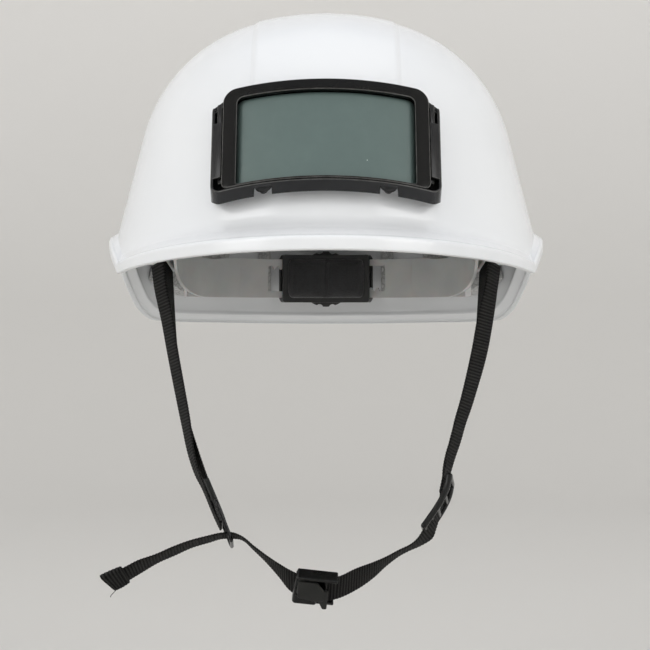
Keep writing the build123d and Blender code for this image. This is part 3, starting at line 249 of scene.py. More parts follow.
def moulded_plastic(name, dark, light, roughness, grain=2600.0, grain_depth=0.00001, edge_tone=None, **inputs):
    """Moulded plastic: slow colour drift, fine mould grain, edges rounded off. With a highlight tone, a painted
    highlight turns the surface towards it by the first number of its cloth places, 1 in the middle of a rounded edge
    and 0 on a face."""
    finish = Finish(name)
    tint = finish.colour(finish.noise(45.0, 4.0), dark, light)
    scuff = finish.noise(330.0, 5.0, 0.65)
    # Painted highlight: rounded edges are painted lighter, towards the highlight tone, as thin light lines.
    if edge_tone:
        edge_highlight = finish.math("MULTIPLY", finish.split(finish.cloth)[0], finish.number(scuff, 0.35, 1.0))
        tint = finish.mix(edge_highlight, tint, (*edge_tone, 1.0))
    finish.feed(Base_Color=tint, Roughness=finish.number(scuff, *roughness),
                Normal=finish.raised(finish.noise(grain, 2.0), grain_depth, finish.rounded(WORN_EDGE)), **inputs)
    return finish.material


def shell_plastic():
    """Glossy injection-moulded shell: even tint, a very slight waviness, faint dust and hairline scuffs."""
    finish = Finish("shell_gloss_white")
    tint = finish.colour(finish.noise(14.0), (0.800, 0.818, 0.838), (0.832, 0.848, 0.864))
    dust = finish.colour(finish.noise(900.0, 6.0, 0.75), (0.72, 0.73, 0.74), (1.0, 1.0, 1.0), 0.24, 0.30)
    wave = finish.raised(finish.noise(38.0, 2.0), 0.00012)
    finish.feed(Base_Color=finish.mix(1.0, tint, dust, "MULTIPLY"),
                Roughness=finish.number(finish.noise(160.0, 7.0, 0.7), 0.13, 0.24, 0.35, 0.75),
                Normal=finish.raised(finish.noise(2400.0, 2.0), 0.000002, wave), Specular_IOR_Level=0.5)
    return finish.material


def webbing_cloth():
    """Black polyester webbing on cloth places in millimetres: a rib every pitch along, |sin| of the distance, with
    painted light on its crest and painted shade in its groove; twisted yarns lie in each rib, with fuzz over them."""
    finish = Finish("webbing_black_polyester")
    along, across, _ = finish.split(finish.cloth)
    rib = finish.math("ABSOLUTE", finish.math("SINE", finish.math("MULTIPLY", along, math.pi / RIB_PITCH)))
    twist = finish.math("ADD", along, finish.math("MULTIPLY", across, 0.35))
    yarn = finish.node("CombineXYZ", {"X": twist, "Y": across})
    strands = finish.node("TexWave", {"Vector": yarn, "Scale": 1.1, "Distortion": 1.2, "Detail": 2.0}, "Fac",
                          wave_type="BANDS", bands_direction="X")
    fuzz = finish.noise(6.0, 5.0, 0.7, finish.cloth)
    ridge = finish.math("MULTIPLY", rib, finish.number(strands, 0.65, 1.0, 0.0, 1.0))
    rib_relief_and_shade = finish.math("MULTIPLY", ridge, finish.number(fuzz, 0.7, 1.15))
    # Painted light and shade: the colour runs from near black in the grooves to grey on the crests; the same numbers
    # give the ribs' bump.
    finish.feed(Base_Color=finish.colour(rib_relief_and_shade, (0.0016, 0.0016, 0.0016), (0.040, 0.039, 0.0375), 0.42, 1.0),
                Roughness=finish.number(fuzz, 0.6, 0.85), Normal=finish.raised(rib_relief_and_shade, 0.00022),
                Specular_IOR_Level=0.16)
    return finish.material


def sweat_cloth():
    """Black brushed knit over foam: small loops, soft pile and a faint two-tone."""
    finish = Finish("sweatband_brushed_knit")
    pile = finish.noise(2300.0, 4.0, 0.7)
    knit = finish.math("MULTIPLY", finish.cells(1100.0, Randomness=0.45), pile)
    patchy = finish.math("MULTIPLY", knit, finish.noise(90.0))
    finish.feed(Base_Color=finish.colour(patchy, (0.034, 0.034, 0.037), (0.012, 0.012, 0.0125), 0.02, 0.25),
                Roughness=finish.number(pile, 0.75, 0.95), Normal=finish.raised(knit, 0.0004),
                Sheen_Weight=0.4, Sheen_Roughness=0.5)
    return finish.material


def foam_beads():
    """Expanded polystyrene: pressed beads with dark joints between them."""
    finish = Finish("liner_foam_beads")
    beads = finish.node("TexVoronoi", {"Vector": finish.place, "Scale": 330.0}, "Distance",
                        feature="DISTANCE_TO_EDGE")
    finish.feed(Base_Color=finish.colour(beads, (0.40, 0.40, 0.40), (0.60, 0.60, 0.595), 0.0, 0.12),
                Roughness=finish.number(beads, 0.85, 0.6, 0.0, 0.3),
                Normal=finish.raised(finish.number(beads, 0.0, 1.0, 0.0, 0.16), 0.00035))
    return finish.material


def smoked_acrylic():
    """Smoked card window: grey-green tint with faint smudges and pinprick dust."""
    finish = Finish("smoked_acrylic_pane")
    smudge = finish.noise(190.0)
    cloud = finish.math("MULTIPLY", finish.noise(70.0, 5.0, 0.6), smudge)
    tint = finish.colour(cloud, (0.108, 0.151, 0.142), (0.115, 0.161, 0.151), 0.12, 0.45)
    dust = finish.colour(finish.cells(75.0), (0.55, 0.58, 0.56), (0.0, 0.0, 0.0), 0.016, 0.024)
    finish.feed(Base_Color=finish.mix(1.0, tint, dust, "ADD"), Roughness=finish.number(smudge, 0.20, 0.27),
                Normal=finish.raised(finish.noise(60.0, 2.0), 0.000004), Alpha=0.94)
    return finish.material


def bare_steel(name, tone, roughness):
    """Plated steel: a cloudy plate, fine grain and edges rounded off in the normal."""
    finish = Finish(name)
    cloud = finish.noise(420.0, 5.0, 0.6)
    finish.feed(Base_Color=finish.colour(cloud, tuple(0.8 * t for t in tone), tone),
                Roughness=finish.number(cloud, *roughness), Metallic=1.0,
                Normal=finish.raised(finish.noise(3000.0, 2.0), 0.00002, finish.rounded(0.00025)))
    return finish.material


# Fine grain, and the tone of the painted highlight on rounded edges.
GRAIN_AND_EDGE_HIGHLIGHT = {"grain_depth": 0.0000008, "edge_tone": (0.12, 0.12, 0.115)}
SHELL = shell_plastic()
WEBBING = webbing_cloth()
SWEAT = sweat_cloth()
FOAM = foam_beads()
PANE = smoked_acrylic()
MODULE_BLACK = moulded_plastic("module_gloss_black", (0.0046, 0.0046, 0.0044), (0.0066, 0.0066, 0.0062),
                               (0.10, 0.17), Specular_IOR_Level=0.2, **GRAIN_AND_EDGE_HIGHLIGHT)
# Same black plastic as the frame, painted lighter: a painted reflection of the white brim below the tray.
TRAY_BLACK = moulded_plastic("module_tray_black", (0.013, 0.013, 0.0135), (0.018, 0.018, 0.0185),
                             (0.16, 0.26), Specular_IOR_Level=0.28, **GRAIN_AND_EDGE_HIGHLIGHT)
SEAL = moulded_plastic("seal_rubber_black", (0.008, 0.008, 0.008), (0.014, 0.014, 0.014),
                       (0.6, 0.8), 1800.0, 0.00003)
DARK = moulded_plastic("adjuster_satin_black", (0.014, 0.0145, 0.0145), (0.020, 0.0205, 0.020), (0.34, 0.5))
NATURAL = moulded_plastic("suspension_natural_polyethylene", (0.52, 0.53, 0.53), (0.60, 0.61, 0.60),
                          (0.38, 0.52), 1500.0, Subsurface_Weight=0.2, Subsurface_Scale=0.004)
BUCKLE_BLACK = moulded_plastic("buckle_gloss_black", (0.0032, 0.0034, 0.0032), (0.0052, 0.0055, 0.0051),
                               (0.16, 0.30), grain_depth=0.000002, Specular_IOR_Level=0.35)
LEVER_GREY = moulded_plastic("buckle_lever_satin", (0.0105, 0.0110, 0.0100), (0.0145, 0.0150, 0.0138),
                             (0.30, 0.42), grain_depth=0.000003, Specular_IOR_Level=0.3)
STEEL = bare_steel("zinc_plated_steel", (0.56, 0.56, 0.57), (0.26, 0.42))
BLACK_STEEL = bare_steel("blackened_steel", (0.034, 0.034, 0.035), (0.20, 0.32))


# ---------------------------------------------------------------- shell
# Pairs are the value at the very front and the value at the sides and rear.
CROWN_Z, CROWN_RADIUS, SHOULDER_RADIUS = 121.0, 142.0, 80.0
DRAFT, WAIST_Z, HALF_WIDTH = math.radians(14.5), 10.0, 107.0
FRONT_LENGTH, REAR_LENGTH = 120.0, 122.0
WALL = 2.8
UNDERSIDE, ROOT_INSET, LIP_ROUND, FOOT_ROUND = 0.9 * WALL, 0.6, 1.5, 0.6
CROWN_HOLE, CROSS_AXIS_Z, BRIM_END_SLOPE = 0.02, -10.0, 0.62
BRIM_HALF_WIDTH, BRIM_REACH = 112.0, 146.0
LIP_OUT, LIP_HEIGHT, CREASE_RISE, FILLET_RISE = 3.1, (6.5, 4.3), (6.2, 3.0), (5.0, 1.6)
RIM = np.array([(-146, -4.9), (-57, -13.3), (-50, -9.53), (-40, -5.59), (-28, -2.0), (-15, 1.17), (0, 2.61),
                (15, -0.34), (35, -10.0), (50, -18.98), (69, -30.8), (80, -35.29), (92, -36.4), (120, -37.27),
                (150, -38.2)])

CROWN_CENTRE, SHOULDER_OFFSET = CROWN_Z - CROWN_RADIUS, CROWN_RADIUS - SHOULDER_RADIUS
CROWN_LEAN = math.asin((HALF_WIDTH * math.cos(DRAFT) + (WAIST_Z - CROWN_CENTRE) * math.sin(DRAFT) - SHOULDER_RADIUS)
                 / SHOULDER_OFFSET) - DRAFT
SHOULDER_X = SHOULDER_OFFSET * math.sin(CROWN_LEAN)
SHOULDER_Z = CROWN_CENTRE + SHOULDER_OFFSET * math.cos(CROWN_LEAN)


def side_radius(z, inset=0.0):
    """Half width of the drafted side wall: waist half width plus depth below the waist times the draft's tangent."""
    return HALF_WIDTH + (WAIST_Z - z) * math.tan(DRAFT) - inset / math.cos(DRAFT)


def dome_radius(z, inset=0.0):
    """Half width of the dome at a height: crown circle, then shoulder circle, then drafted side."""
    crown, shoulder = CROWN_RADIUS - inset, SHOULDER_RADIUS - inset
    on_crown = np.sqrt(np.maximum(crown ** 2 - (z - CROWN_CENTRE) ** 2, 0.0))
    on_shoulder = SHOULDER_X + np.sqrt(np.maximum(shoulder ** 2 - (z - SHOULDER_Z) ** 2, 0.0))
    top, foot = CROWN_CENTRE + crown * math.cos(CROWN_LEAN), SHOULDER_Z + shoulder * math.sin(DRAFT)
    return np.where(z > top, on_crown, np.where(z > foot, on_shoulder, side_radius(z, inset)))


def stretch(rear, inset=0.0):
    """Factor from half width to length, at the rear or at the front."""
    return (np.where(rear, REAR_LENGTH, FRONT_LENGTH) - inset) / (HALF_WIDTH - inset)


def rim_height(y):
    """Height of the shell's lower edge: Hermite cubic through the rim's points, straight along the brim."""
    ys, zs = RIM[:, 0], RIM[:, 1]
    slopes = np.gradient(zs, ys)
    slopes[0] = (zs[1] - zs[0]) / (ys[1] - ys[0])
    slopes[1], slopes[-2:] = BRIM_END_SLOPE, (zs[-1] - zs[-3]) / (ys[-1] - ys[-3])
    straight = zs[0] + (y - ys[0]) * (zs[1] - zs[0]) / (ys[1] - ys[0])
    return np.where(y < ys[1], straight, cubic(ys, zs, y, slopes))


def curve(start, pull, end, count):
    """Quadratic Bezier curve of three control arrays: (1 - t)^2 start + 2t (1 - t) pull + t^2 end."""
    t = np.linspace(0.0, 1.0, count)[:, None]
    return [(1 - t) ** 2 * a + 2 * t * (1 - t) * b + t ** 2 * c for a, b, c in zip(start, pull, end)]


def line(start, end, count):
    """Straight run of points between two control arrays."""
    t = np.linspace(0.0, 1.0, count)[:, None]
    return [a * (1 - t) + b * t for a, b in zip(start, end)]


def between(start, end, share):
    """Control arrays at a share of the way from one to another."""
    return tuple(a + (b - a) * share for a, b in zip(start, end))


def shell_surface():
    """Whole skin of the shell on a grid: every column is one plan angle, every row one place along the wall's
    section: crown, shoulder, side, fillet, brim, rolled lip, foot, and back up the inside. A section point of half
    width w, half length l and height z lies at (w cos angle, l sin angle, z)."""
    angle = whole_turn(480)
    c, s = np.cos(angle), np.sin(angle)
    rear = s > 0
    front = np.maximum(0.0, -s) ** 0.7
    stretch_out, stretch_in = stretch(rear), stretch(rear, WALL)
    width, reach = np.full_like(c, BRIM_HALF_WIDTH), np.full_like(c, BRIM_REACH)
    for _ in range(14):
        edge = side_radius(rim_height(reach * s))
        width = np.where(rear, edge + LIP_OUT, BRIM_HALF_WIDTH)
        reach = np.where(rear, edge * stretch_out + LIP_OUT, BRIM_REACH)

    def blend(pair):
        return pair[1] + (pair[0] - pair[1]) * front

    lip_top = rim_height(reach * s) + blend(LIP_HEIGHT)
    crease = lip_top + blend(CREASE_RISE)
    rows = []

    def add_rows(run, skip=1):
        w, l, z = (np.broadcast_to(v, (len(v), len(c))) for v in run)
        rows.append(np.stack([w * c, l * s, z], -1)[skip:])

    def dome_run(inset, factor, start, end, count, circle):
        centre_x, centre_z, radius = circle
        a = np.linspace(start, end, count)[:, None]
        w = centre_x + (radius - inset) * np.sin(a) * np.ones_like(c)
        return w, w * factor, centre_z + (radius - inset) * np.cos(a) * np.ones_like(c)

    def side(z, inset, factor):
        w = side_radius(z, inset)
        return (w, w * factor, z)

    def edge_at(inset, z):
        return (width - inset, reach - inset, z)

    crown, shoulder = (0.0, CROWN_CENTRE, CROWN_RADIUS), (SHOULDER_X, SHOULDER_Z, SHOULDER_RADIUS)
    side_angle = math.pi / 2 - DRAFT
    add_rows(dome_run(0, stretch_out, CROWN_HOLE, CROWN_LEAN, 26, crown), 0)
    add_rows(dome_run(0, stretch_out, CROWN_LEAN, side_angle, 44, shoulder))
    top_z = np.full_like(c, SHOULDER_Z + SHOULDER_RADIUS * math.sin(DRAFT))
    rise = blend(FILLET_RISE)
    side_end = side(crease + rise, 0, stretch_out)
    add_rows(line(side(top_z, 0, stretch_out), side_end, 18))
    root = side_radius(crease) - ROOT_INSET
    crease_point = (root, root * stretch_out, crease)
    crown_round = edge_at(LIP_ROUND, lip_top + 0.05)
    share = np.clip(rise * 1.5 / np.maximum(reach - LIP_ROUND - root * stretch_out, 1.0), 0.0, 0.75)
    brim_start = between(crease_point, crown_round, share)
    add_rows(curve(side_end, side(crease, 0, stretch_out), brim_start, 10))
    lip_shoulder = between(crease_point, crown_round, 0.96)
    lip_shoulder = tuple(np.maximum(a, b) if k < 2 else b for k, (a, b) in enumerate(zip(brim_start, lip_shoulder)))
    add_rows(line(brim_start, lip_shoulder, 8))
    lip_side = edge_at(0.0, lip_top - 1.9)
    add_rows(curve(lip_shoulder, edge_at(0.15, lip_top + 0.35), lip_side, 9))
    foot = rim_height(reach * s)
    outer_foot, under_foot = edge_at(0.0, foot + 0.7), edge_at(0.8, foot)
    add_rows(line(lip_side, outer_foot, 6))
    add_rows(curve(outer_foot, edge_at(0.0, foot), under_foot, 5))
    inner_z = rim_height((reach - WALL) * s)
    inner_foot, inner_low = edge_at(WALL - FOOT_ROUND, inner_z), edge_at(WALL, inner_z + FOOT_ROUND)
    add_rows(line(under_foot, inner_foot, 4))
    add_rows(curve(inner_foot, edge_at(WALL, inner_z), inner_low, 4))
    inner_root = side_radius(crease) - ROOT_INSET - WALL
    inner_crease = (inner_root, inner_root * stretch_out, crease - UNDERSIDE)
    inner_lip, inner_high = edge_at(WALL, lip_top - UNDERSIDE), edge_at(WALL, lip_top - UNDERSIDE - 1.2)
    add_rows(line(inner_low, inner_high, 4))
    under = between(inner_lip, inner_crease, 0.12)
    add_rows(curve(inner_high, inner_lip, under, 5))
    inner_side = side(crease - UNDERSIDE + 2.4, WALL, stretch_in)
    under_end = between(inner_lip, inner_crease, 0.86)
    add_rows(line(under, under_end, 7))
    add_rows(curve(under_end, inner_crease, inner_side, 6))
    inner_top_z = np.full_like(c, SHOULDER_Z + (SHOULDER_RADIUS - WALL) * math.sin(DRAFT))
    add_rows(line(inner_side, side(inner_top_z, WALL, stretch_in), 10))
    add_rows(dome_run(WALL, stretch_in, side_angle, CROWN_LEAN, 24, shoulder))
    add_rows(dome_run(WALL, stretch_in, CROWN_LEAN, CROWN_HOLE, 14, crown))
    return np.concatenate(rows, 0)


def last_inside(low, high, rounds, outside):
    """Greatest distance that is not outside, by halving an interval a number of times."""
    for _ in range(rounds):
        middle = (low + high) / 2
        beyond = outside(middle)
        low, high = np.where(beyond, low, middle), np.where(beyond, middle, high)
    return low


def on_dome(x, turn, lift):
    """Point of the dome, raised by lift, at a given x and a given turn about a cross axis low in the dome: where the
    ray (x, r cos turn, axis + r sin turn) leaves the raised dome."""
    def place(r):
        return r * np.cos(turn), CROSS_AXIS_Z + r * np.sin(turn)

    def outside(r):
        y, z = place(r)
        radius = np.where(z > CROWN_Z + lift, 0.0, dome_radius(np.minimum(z, CROWN_Z + lift), -lift))
        return np.hypot(x, y / stretch(y > 0, -lift)) > radius

    return np.stack([x, *place(last_inside(0.0, 200.0, 36, outside))], -1)


def crown_band():
    """Raised flat strip over the crown: across, a profile of heights that rolls over at both edges; along, a turn
    about the cross axis. The height falls to nothing in the last few degrees at both feet."""
    half = np.array([0, 12, 24, 32.5, 33.3, 34.0, 34.6, 35.1, 35.6, 36.2, 37.0])
    rise = np.array([0.8, 0.8, 0.8, 0.8, 0.77, 0.66, 0.47, 0.26, 0.08, -0.05, -0.35])
    buried = -0.8
    across, height = np.concatenate([-half[:0:-1], half]), np.concatenate([rise[:0:-1], rise])
    across = np.concatenate([across, across[::-1]])
    height = np.concatenate([height, np.full_like(height, buried)])
    turn = np.linspace(math.radians(15.2), math.radians(164.8), 260)[:, None]
    fade = smoothstep(0.0, 0.05, np.minimum(turn - turn[0], turn[-1] - turn))
    sink = 0.4 * (1 - fade)
    lift = np.where(height > -0.5, np.maximum(height, rise[-1]) * fade - sink, buried - sink)
    return on_dome(*(np.broadcast_to(v, lift.shape).copy() for v in (across, turn)), lift)


make_piece("shell_skin", [capped(shell_surface())], "helmet", SHELL, ("shell",))
make_piece("shell_crown_band", [capped(crown_band())], "helmet", SHELL)


# ---------------------------------------------------------------- card window module
TILT, FACE, MODULE_Y, MODULE_Z = math.radians(24.0), 104.0, -119.3, 51.0
BEZEL_BACK, LEDGE, BEZEL_ROUND = 98.9, 99.9, 0.5
FLOOR_BACK, FLOOR_FACE, TRAY_TOP, TRAY_BOTTOM, NOTCH_X = 97.2, 98.4, 23.6, -25.4, 28.8
TRAY_EDGE = 0.45
# Outlines: half width, bottom, top, radius of the lower corners, radius of the upper corners.
BEZEL_RIM, BEZEL_OPENING = (48.4, -24.4, 27.8, 3.2, 6.2), (41.55, -23.2, 22.2, 1.0, 2.8)
BEZEL_INSIDE, SEAT_RIM = (43.6, -23.7, 24.2, 1.5, 4.2), (53.5, -21.0, TRAY_TOP, 5.2, 4.4)
PANE_FACE, PANE_FLANGE = (41.5, -23.15, 22.15, 1.0, 2.8), (43.4, -23.6, 24.0, 1.4, 4.0)
ARC_POINTS = 5


def set_in_module(grid):
    """Module points (x, y, z) turned back by the tilt about X and set against the shell's front."""
    x, y, z = grid[..., 0], grid[..., 1], grid[..., 2]
    return np.stack([x, y * math.cos(TILT) + z * math.sin(TILT) + MODULE_Y + FACE * math.cos(TILT),
                     z * math.cos(TILT) - y * math.sin(TILT) + MODULE_Z - FACE * math.sin(TILT)], -1)


def bent(x, radius, z):
    """Places on an upright cylinder: y = -sqrt(radius^2 - x^2), then set in the module."""
    x, radius, z = np.broadcast_arrays(x, radius, z)
    return set_in_module(np.stack([x, -np.sqrt(np.maximum(radius ** 2 - x ** 2, 0.0)), z], -1))


def outline(half, bottom, top, low, high, foot=None):
    """Closed loop of a rectangle with rounded corners, as x and z: lower right corner, side, top, side, foot."""
    q = quarter(9)
    foot = np.linspace(-1, 1, 61)[1:-1] * (half - low) if foot is None else foot
    side = np.linspace(bottom + low, top - high, 30)[1:-1]
    across = np.linspace(half - high, high - half, 61)[1:-1]
    x = [half - low + low * np.sin(q), np.full_like(side, half), half - high + high * np.cos(q), across,
         high - half - high * np.sin(q), np.full_like(side, -half), low - half - low * np.cos(q), foot]
    z = [bottom + low - low * np.cos(q), side, top - high + high * np.sin(q), np.full_like(across, top),
         top - high + high * np.cos(q), side[::-1], bottom + low - low * np.sin(q), np.full_like(foot, bottom)]
    return np.concatenate(x), np.concatenate(z)


def shrunk(shape, inset):
    """Loop of an outline whose every edge stands back by an inset."""
    half, bottom, top, low, high = shape
    return outline(half - inset, bottom + inset, top - inset, low - inset, high - inset)


def four_corners(x_span, y_span, corner, count):
    """Centres and angles of a rounded rectangle's arcs, in turn from the corner of the greatest x and y."""
    (x0, x1), (y0, y1) = x_span, y_span
    turn = (quarter(count) + np.array([[0.0], [np.pi / 2], [np.pi], [1.5 * np.pi]])).ravel()
    centre_x = np.repeat([x1 - corner, x0 + corner, x0 + corner, x1 - corner], count)
    centre_y = np.repeat([y1 - corner, y1 - corner, y0 + corner, y0 + corner], count)
    return centre_x, centre_y, turn


def round_faces(z_span, edge):
    """Rings from one face to the other with a quarter circle q at each: the share sin q of the edge by which a ring
    has grown, and its height."""
    q = quarter(ARC_POINTS)
    z = np.concatenate([z_span[0] + edge * (1 - np.cos(q)), z_span[1] - edge * (1 - np.cos(q[::-1]))])
    return np.concatenate([np.sin(q), np.sin(q[::-1])]), z


def soft_block(spans, corner):
    """Box with every edge rounded: at each height the section is a rounded rectangle whose corner radius follows
    a quarter circle from nothing at the ends to the full corner."""
    grown, z = round_faces(spans[2], corner)
    centre_x, centre_y, turn = four_corners(*spans[:2], corner, ARC_POINTS)
    radius = corner * grown[:, None]
    return np.stack([centre_x + radius * np.cos(turn), centre_y + radius * np.sin(turn),
                     np.broadcast_to(z[:, None], (len(z), len(turn)))], -1)


def edge_cloth(marks):
    """Edge numbers as cloth places, whose second number is nothing."""
    return np.stack([marks, np.zeros_like(marks)], -1)


# These edge numbers steer the painted highlight of the module's black finishes.
def edge_marks():
    """Edge numbers of a soft block: the greater of sin 2q along its rows and along its columns, q being the place
    on the quarter circle, so 1 in the middle of a rounded edge and 0 where it meets a face."""
    q = quarter(ARC_POINTS)
    rows, cols = np.sin(2 * np.concatenate([q, q[::-1]])), np.sin(2 * np.tile(q, 4))
    return edge_cloth(np.maximum(rows[:, None], cols[None, :]))


def module_bar(x_span, radius_span, z_span, corner):
    """Rounded bar of the module: a soft block in x, radius and z, bent onto the cylinder."""
    block = soft_block((x_span, radius_span, z_span), corner)
    return capped(bent(*np.moveaxis(block, -1, 0)), edge_marks())


def both_sides(x_span, radius_span, z_span, corner):
    """The same bar left and right."""
    return [module_bar(span, radius_span, z_span, corner) for span in (x_span, (-x_span[1], -x_span[0]))]


def shoulder_bar(side):
    """Sloped shoulder beside the window's top corner: a soft block that falls by half of its distance outwards."""
    block = soft_block(((47.5, 53.0), (97.4, 101.8), (20.8, 23.9)), 0.5)
    x, radius, z = np.moveaxis(block, -1, 0)
    return capped(bent(side * x, radius, z - 0.5 * (x - 48.0)), edge_marks())


def bezel_surface():
    """Window frame as a ring of loops: out of the back up the rim, a quarter round, the flat face, a quarter round
    into the window, down the window's wall, over the ledge and back."""
    q = quarter(7)
    # Edge numbers of the quarter rounds: they steer the painted highlight of the frame's finish.
    edge_highlight = np.sin(2 * q)
    rim = list(zip(BEZEL_ROUND * (1 - np.cos(q)), FACE - BEZEL_ROUND + BEZEL_ROUND * np.sin(q)))
    lips = list(zip(BEZEL_ROUND * (1 - np.sin(q)), FACE - BEZEL_ROUND + BEZEL_ROUND * np.cos(q)))
    rows = [(shrunk(BEZEL_RIM, d), r) for d, r in [(0.0, BEZEL_BACK)] + rim]
    rows += [(shrunk(BEZEL_OPENING, -d), r) for d, r in lips + [(0.0, LEDGE)]]
    rows += [(outline(*BEZEL_INSIDE), r) for r in (LEDGE, BEZEL_BACK)]
    x, z = np.array([loop for loop, _ in rows]).transpose(1, 0, 2)
    radius = np.array([r for _, r in rows])[:, None]
    edge = np.concatenate([[0.0], edge_highlight, edge_highlight, [0.0, 0.0, 0.0]])[:, None] * np.ones(x.shape[1])
    return patch(bent(x, radius, z), rows_round=True, cloth=edge_cloth(edge))


def pane_surface():
    """Curved window pane: loops grow from the middle to the rim of the raised face, step back and out to the flange
    behind the frame, and shrink to the middle again on the inner radius."""
    x, z = outline(*PANE_FACE)
    wide, tall = outline(*PANE_FLANGE)
    share = np.linspace(0.04, 1.0, 18)[:, None]
    front = bent(x * share, 100.75, z * share)
    flange = bent(np.stack([x, wide]), 99.86, np.stack([z, tall]))
    back = bent(wide * share[::-1], 98.3, tall * share[::-1])
    return capped(np.concatenate([front, flange, back]))


def shell_radius(x, z):
    """Module radius at which the shell lies behind module places x and z."""
    def outside(depth):
        p = set_in_module(np.stack([x, -depth, z], -1))
        plan = np.hypot(p[..., 0], p[..., 1] / stretch(p[..., 1] > 0))
        return plan > dome_radius(np.minimum(p[..., 2], CROWN_Z))

    return np.hypot(last_inside(np.full_like(x, 40.0), np.full_like(x, 112.0), 30, outside), x)


def tray_surface():
    """Tray as a ring of loops: under the floor, out to the foot of the wall, up the slanted skirt and the straight
    sides, over the rounded front edge, down the inner wall and in along the floor. Along the foot run two notches,
    where the wall stops short and the floor's edge stands back."""
    notch = np.array([24.3, 24.5, 24.8, 24.9, 26.8, NOTCH_X, 30.8, 32.7, 32.8, 33.2, 33.4])
    run = np.concatenate([[-47, -44, -40, -37], -notch[::-1], np.linspace(-23, 23, 25), notch, [37, 40, 44, 47]])

    def loop(inset, bottom):
        return outline(53.7 - inset, bottom, TRAY_TOP - inset, max(5.2 - inset, 0.6), max(4.4 - inset, 0.6), run)

    x0, z0 = loop(0.0, TRAY_BOTTOM)
    front = 98.8 + 3.9 * smoothstep(22.6, 21.2, z0) + 1.0 * smoothstep(-21.5, -24.0, z0)
    front = np.where(z0 > TRAY_TOP - 0.1, 98.8, front)
    notched = (z0 < -25.0) & (np.abs(np.abs(x0) - NOTCH_X) < 4.0)
    foot = shell_radius(x0, z0) + 0.5
    foot = foot + (FLOOR_BACK - foot) * smoothstep(-18.0, -24.5, z0)
    q = quarter(5)
    cut = front - 2.0
    cut_z = TRAY_BOTTOM - 2.6 * np.clip((front.max() - cut) / 6.5, 0.0, 1.0)
    # The last number of each row is its edge number, which steers the painted highlight of the tray's finish.
    rows = [(8.0, -17.4, FLOOR_BACK, 0.0), (2.4, -25.0, FLOOR_BACK, 0.0),
            (0.7, -27.6, foot, 0.0), (0.1, -28.0, foot + 0.15, 0.0), (0.0, -27.9, foot + 0.5, 0.0)]
    for a in q:
        inset = TRAY_EDGE * (1 - math.cos(a))
        rows.append((inset, TRAY_BOTTOM + inset, front - TRAY_EDGE + TRAY_EDGE * math.sin(a), math.sin(2 * a)))
    rows += [(1.4 - 0.4 * (1 - math.sin(a)), -24.65 - 0.15 * (1 - math.sin(a)), front - 0.4 + 0.4 * math.cos(a), 0.0)
             for a in q]
    rows += [(1.5, -24.65, FLOOR_FACE + 0.05, 0.0), (8.0, -17.4, FLOOR_FACE, 0.0)]
    at_notch = {1: (TRAY_BOTTOM + 5.4, FLOOR_BACK), 2: (cut_z + 0.7, cut), 3: (cut_z + 0.2, cut + 0.1),
                4: (cut_z, cut + 0.2), len(rows) - 2: (TRAY_BOTTOM + 6.0, FLOOR_FACE)}
    grid, edge = [], []
    for k, (inset, bottom, radius, edge_highlight) in enumerate(rows):
        x, z = loop(inset, bottom)
        if k in at_notch:
            z, radius = np.where(notched, at_notch[k][0], z), np.where(notched, at_notch[k][1], radius)
        grid.append(bent(x, radius, z))
        edge.append(np.full_like(x, edge_highlight))
    return patch(np.array(grid), rows_round=True, cloth=edge_cloth(np.array(edge)))


def seat_surface():
    """Rubber seat under the tray's wall: a ring from just under the wall to just inside the shell's surface."""
    rows = []
    for inset, lift in ((0.45, -0.5), (0.3, 0.1), (0.3, 0.45), (0.5, 0.65), (2.2, 0.65), (2.4, 0.4), (2.4, -0.5)):
        x, z = shrunk(SEAT_RIM, inset)
        rows.append(bent(x, shell_radius(x, z) + lift, z))
    return patch(np.array(rows), rows_round=True)


def bosses(place, radius_span, radius, hollow, widen=1.0):
    """Round boss or screw head left and right: a lathe profile of radius against depth, dished in the middle."""
    low, high = radius_span
    profile = np.array([(radius, low), (radius, high - 0.35), (radius - 0.1, high - 0.1), (radius - 0.35, high),
                        (hollow + 0.15, high), (hollow, high - 0.15), (hollow, high - 0.7), (0.05, high - 0.9)])
    turn = whole_turn(28)
    return [capped(bent(side * place[0] + widen * profile[:, :1] * np.cos(turn), profile[:, 1:],
                        place[1] + profile[:, :1] * np.sin(turn))) for side in SIDES]


UPPER_SCREW, LOWER_SCREW, SCREW = (24.5, 14.0), (NOTCH_X, -21.2), ((90.0, 98.25), 2.1, 0.9)
make_piece("window_bezel_frame",
           [bezel_surface()] + both_sides((48.0, 50.2), (BEZEL_BACK, 100.6), (-19.0, 16.6), 0.3),
           "cassette", MODULE_BLACK, ("window_bezel",))
make_piece("window_smoked_pane", [pane_surface()], "cassette", PANE, ("window_pane",))
make_piece("window_tray_body", [tray_surface()] + both_sides((48.8, 53.3), (101.2, 102.75), (-16.9, 12.4), 0.4)
           + both_sides((49.0, 51.1), (97.6, 102.3), (12.0, 22.4), 0.35)
           + [shoulder_bar(side) for side in SIDES] + bosses(UPPER_SCREW, (FLOOR_BACK, 98.2), 4.2, 2.6),
           "helmet", TRAY_BLACK, ("window_tray",))
# The lower bosses are real, but widened in dark seal rubber so that they also stand for the shade inside the notches.
make_piece("window_tray_seat", [seat_surface()] + bosses(LOWER_SCREW, (93.5, 98.0), 3.1, 1.1, 1.28),
           "helmet", SEAL, ("tray_pad",))
make_piece("window_tray_screws", bosses(UPPER_SCREW, *SCREW) + bosses(LOWER_SCREW, *SCREW),
           "helmet", BLACK_STEEL, ("tray_screws",))


# ---------------------------------------------------------------- webbing harness
WEBBING_STEP, EDGE_STEP = 0.4, 0.26


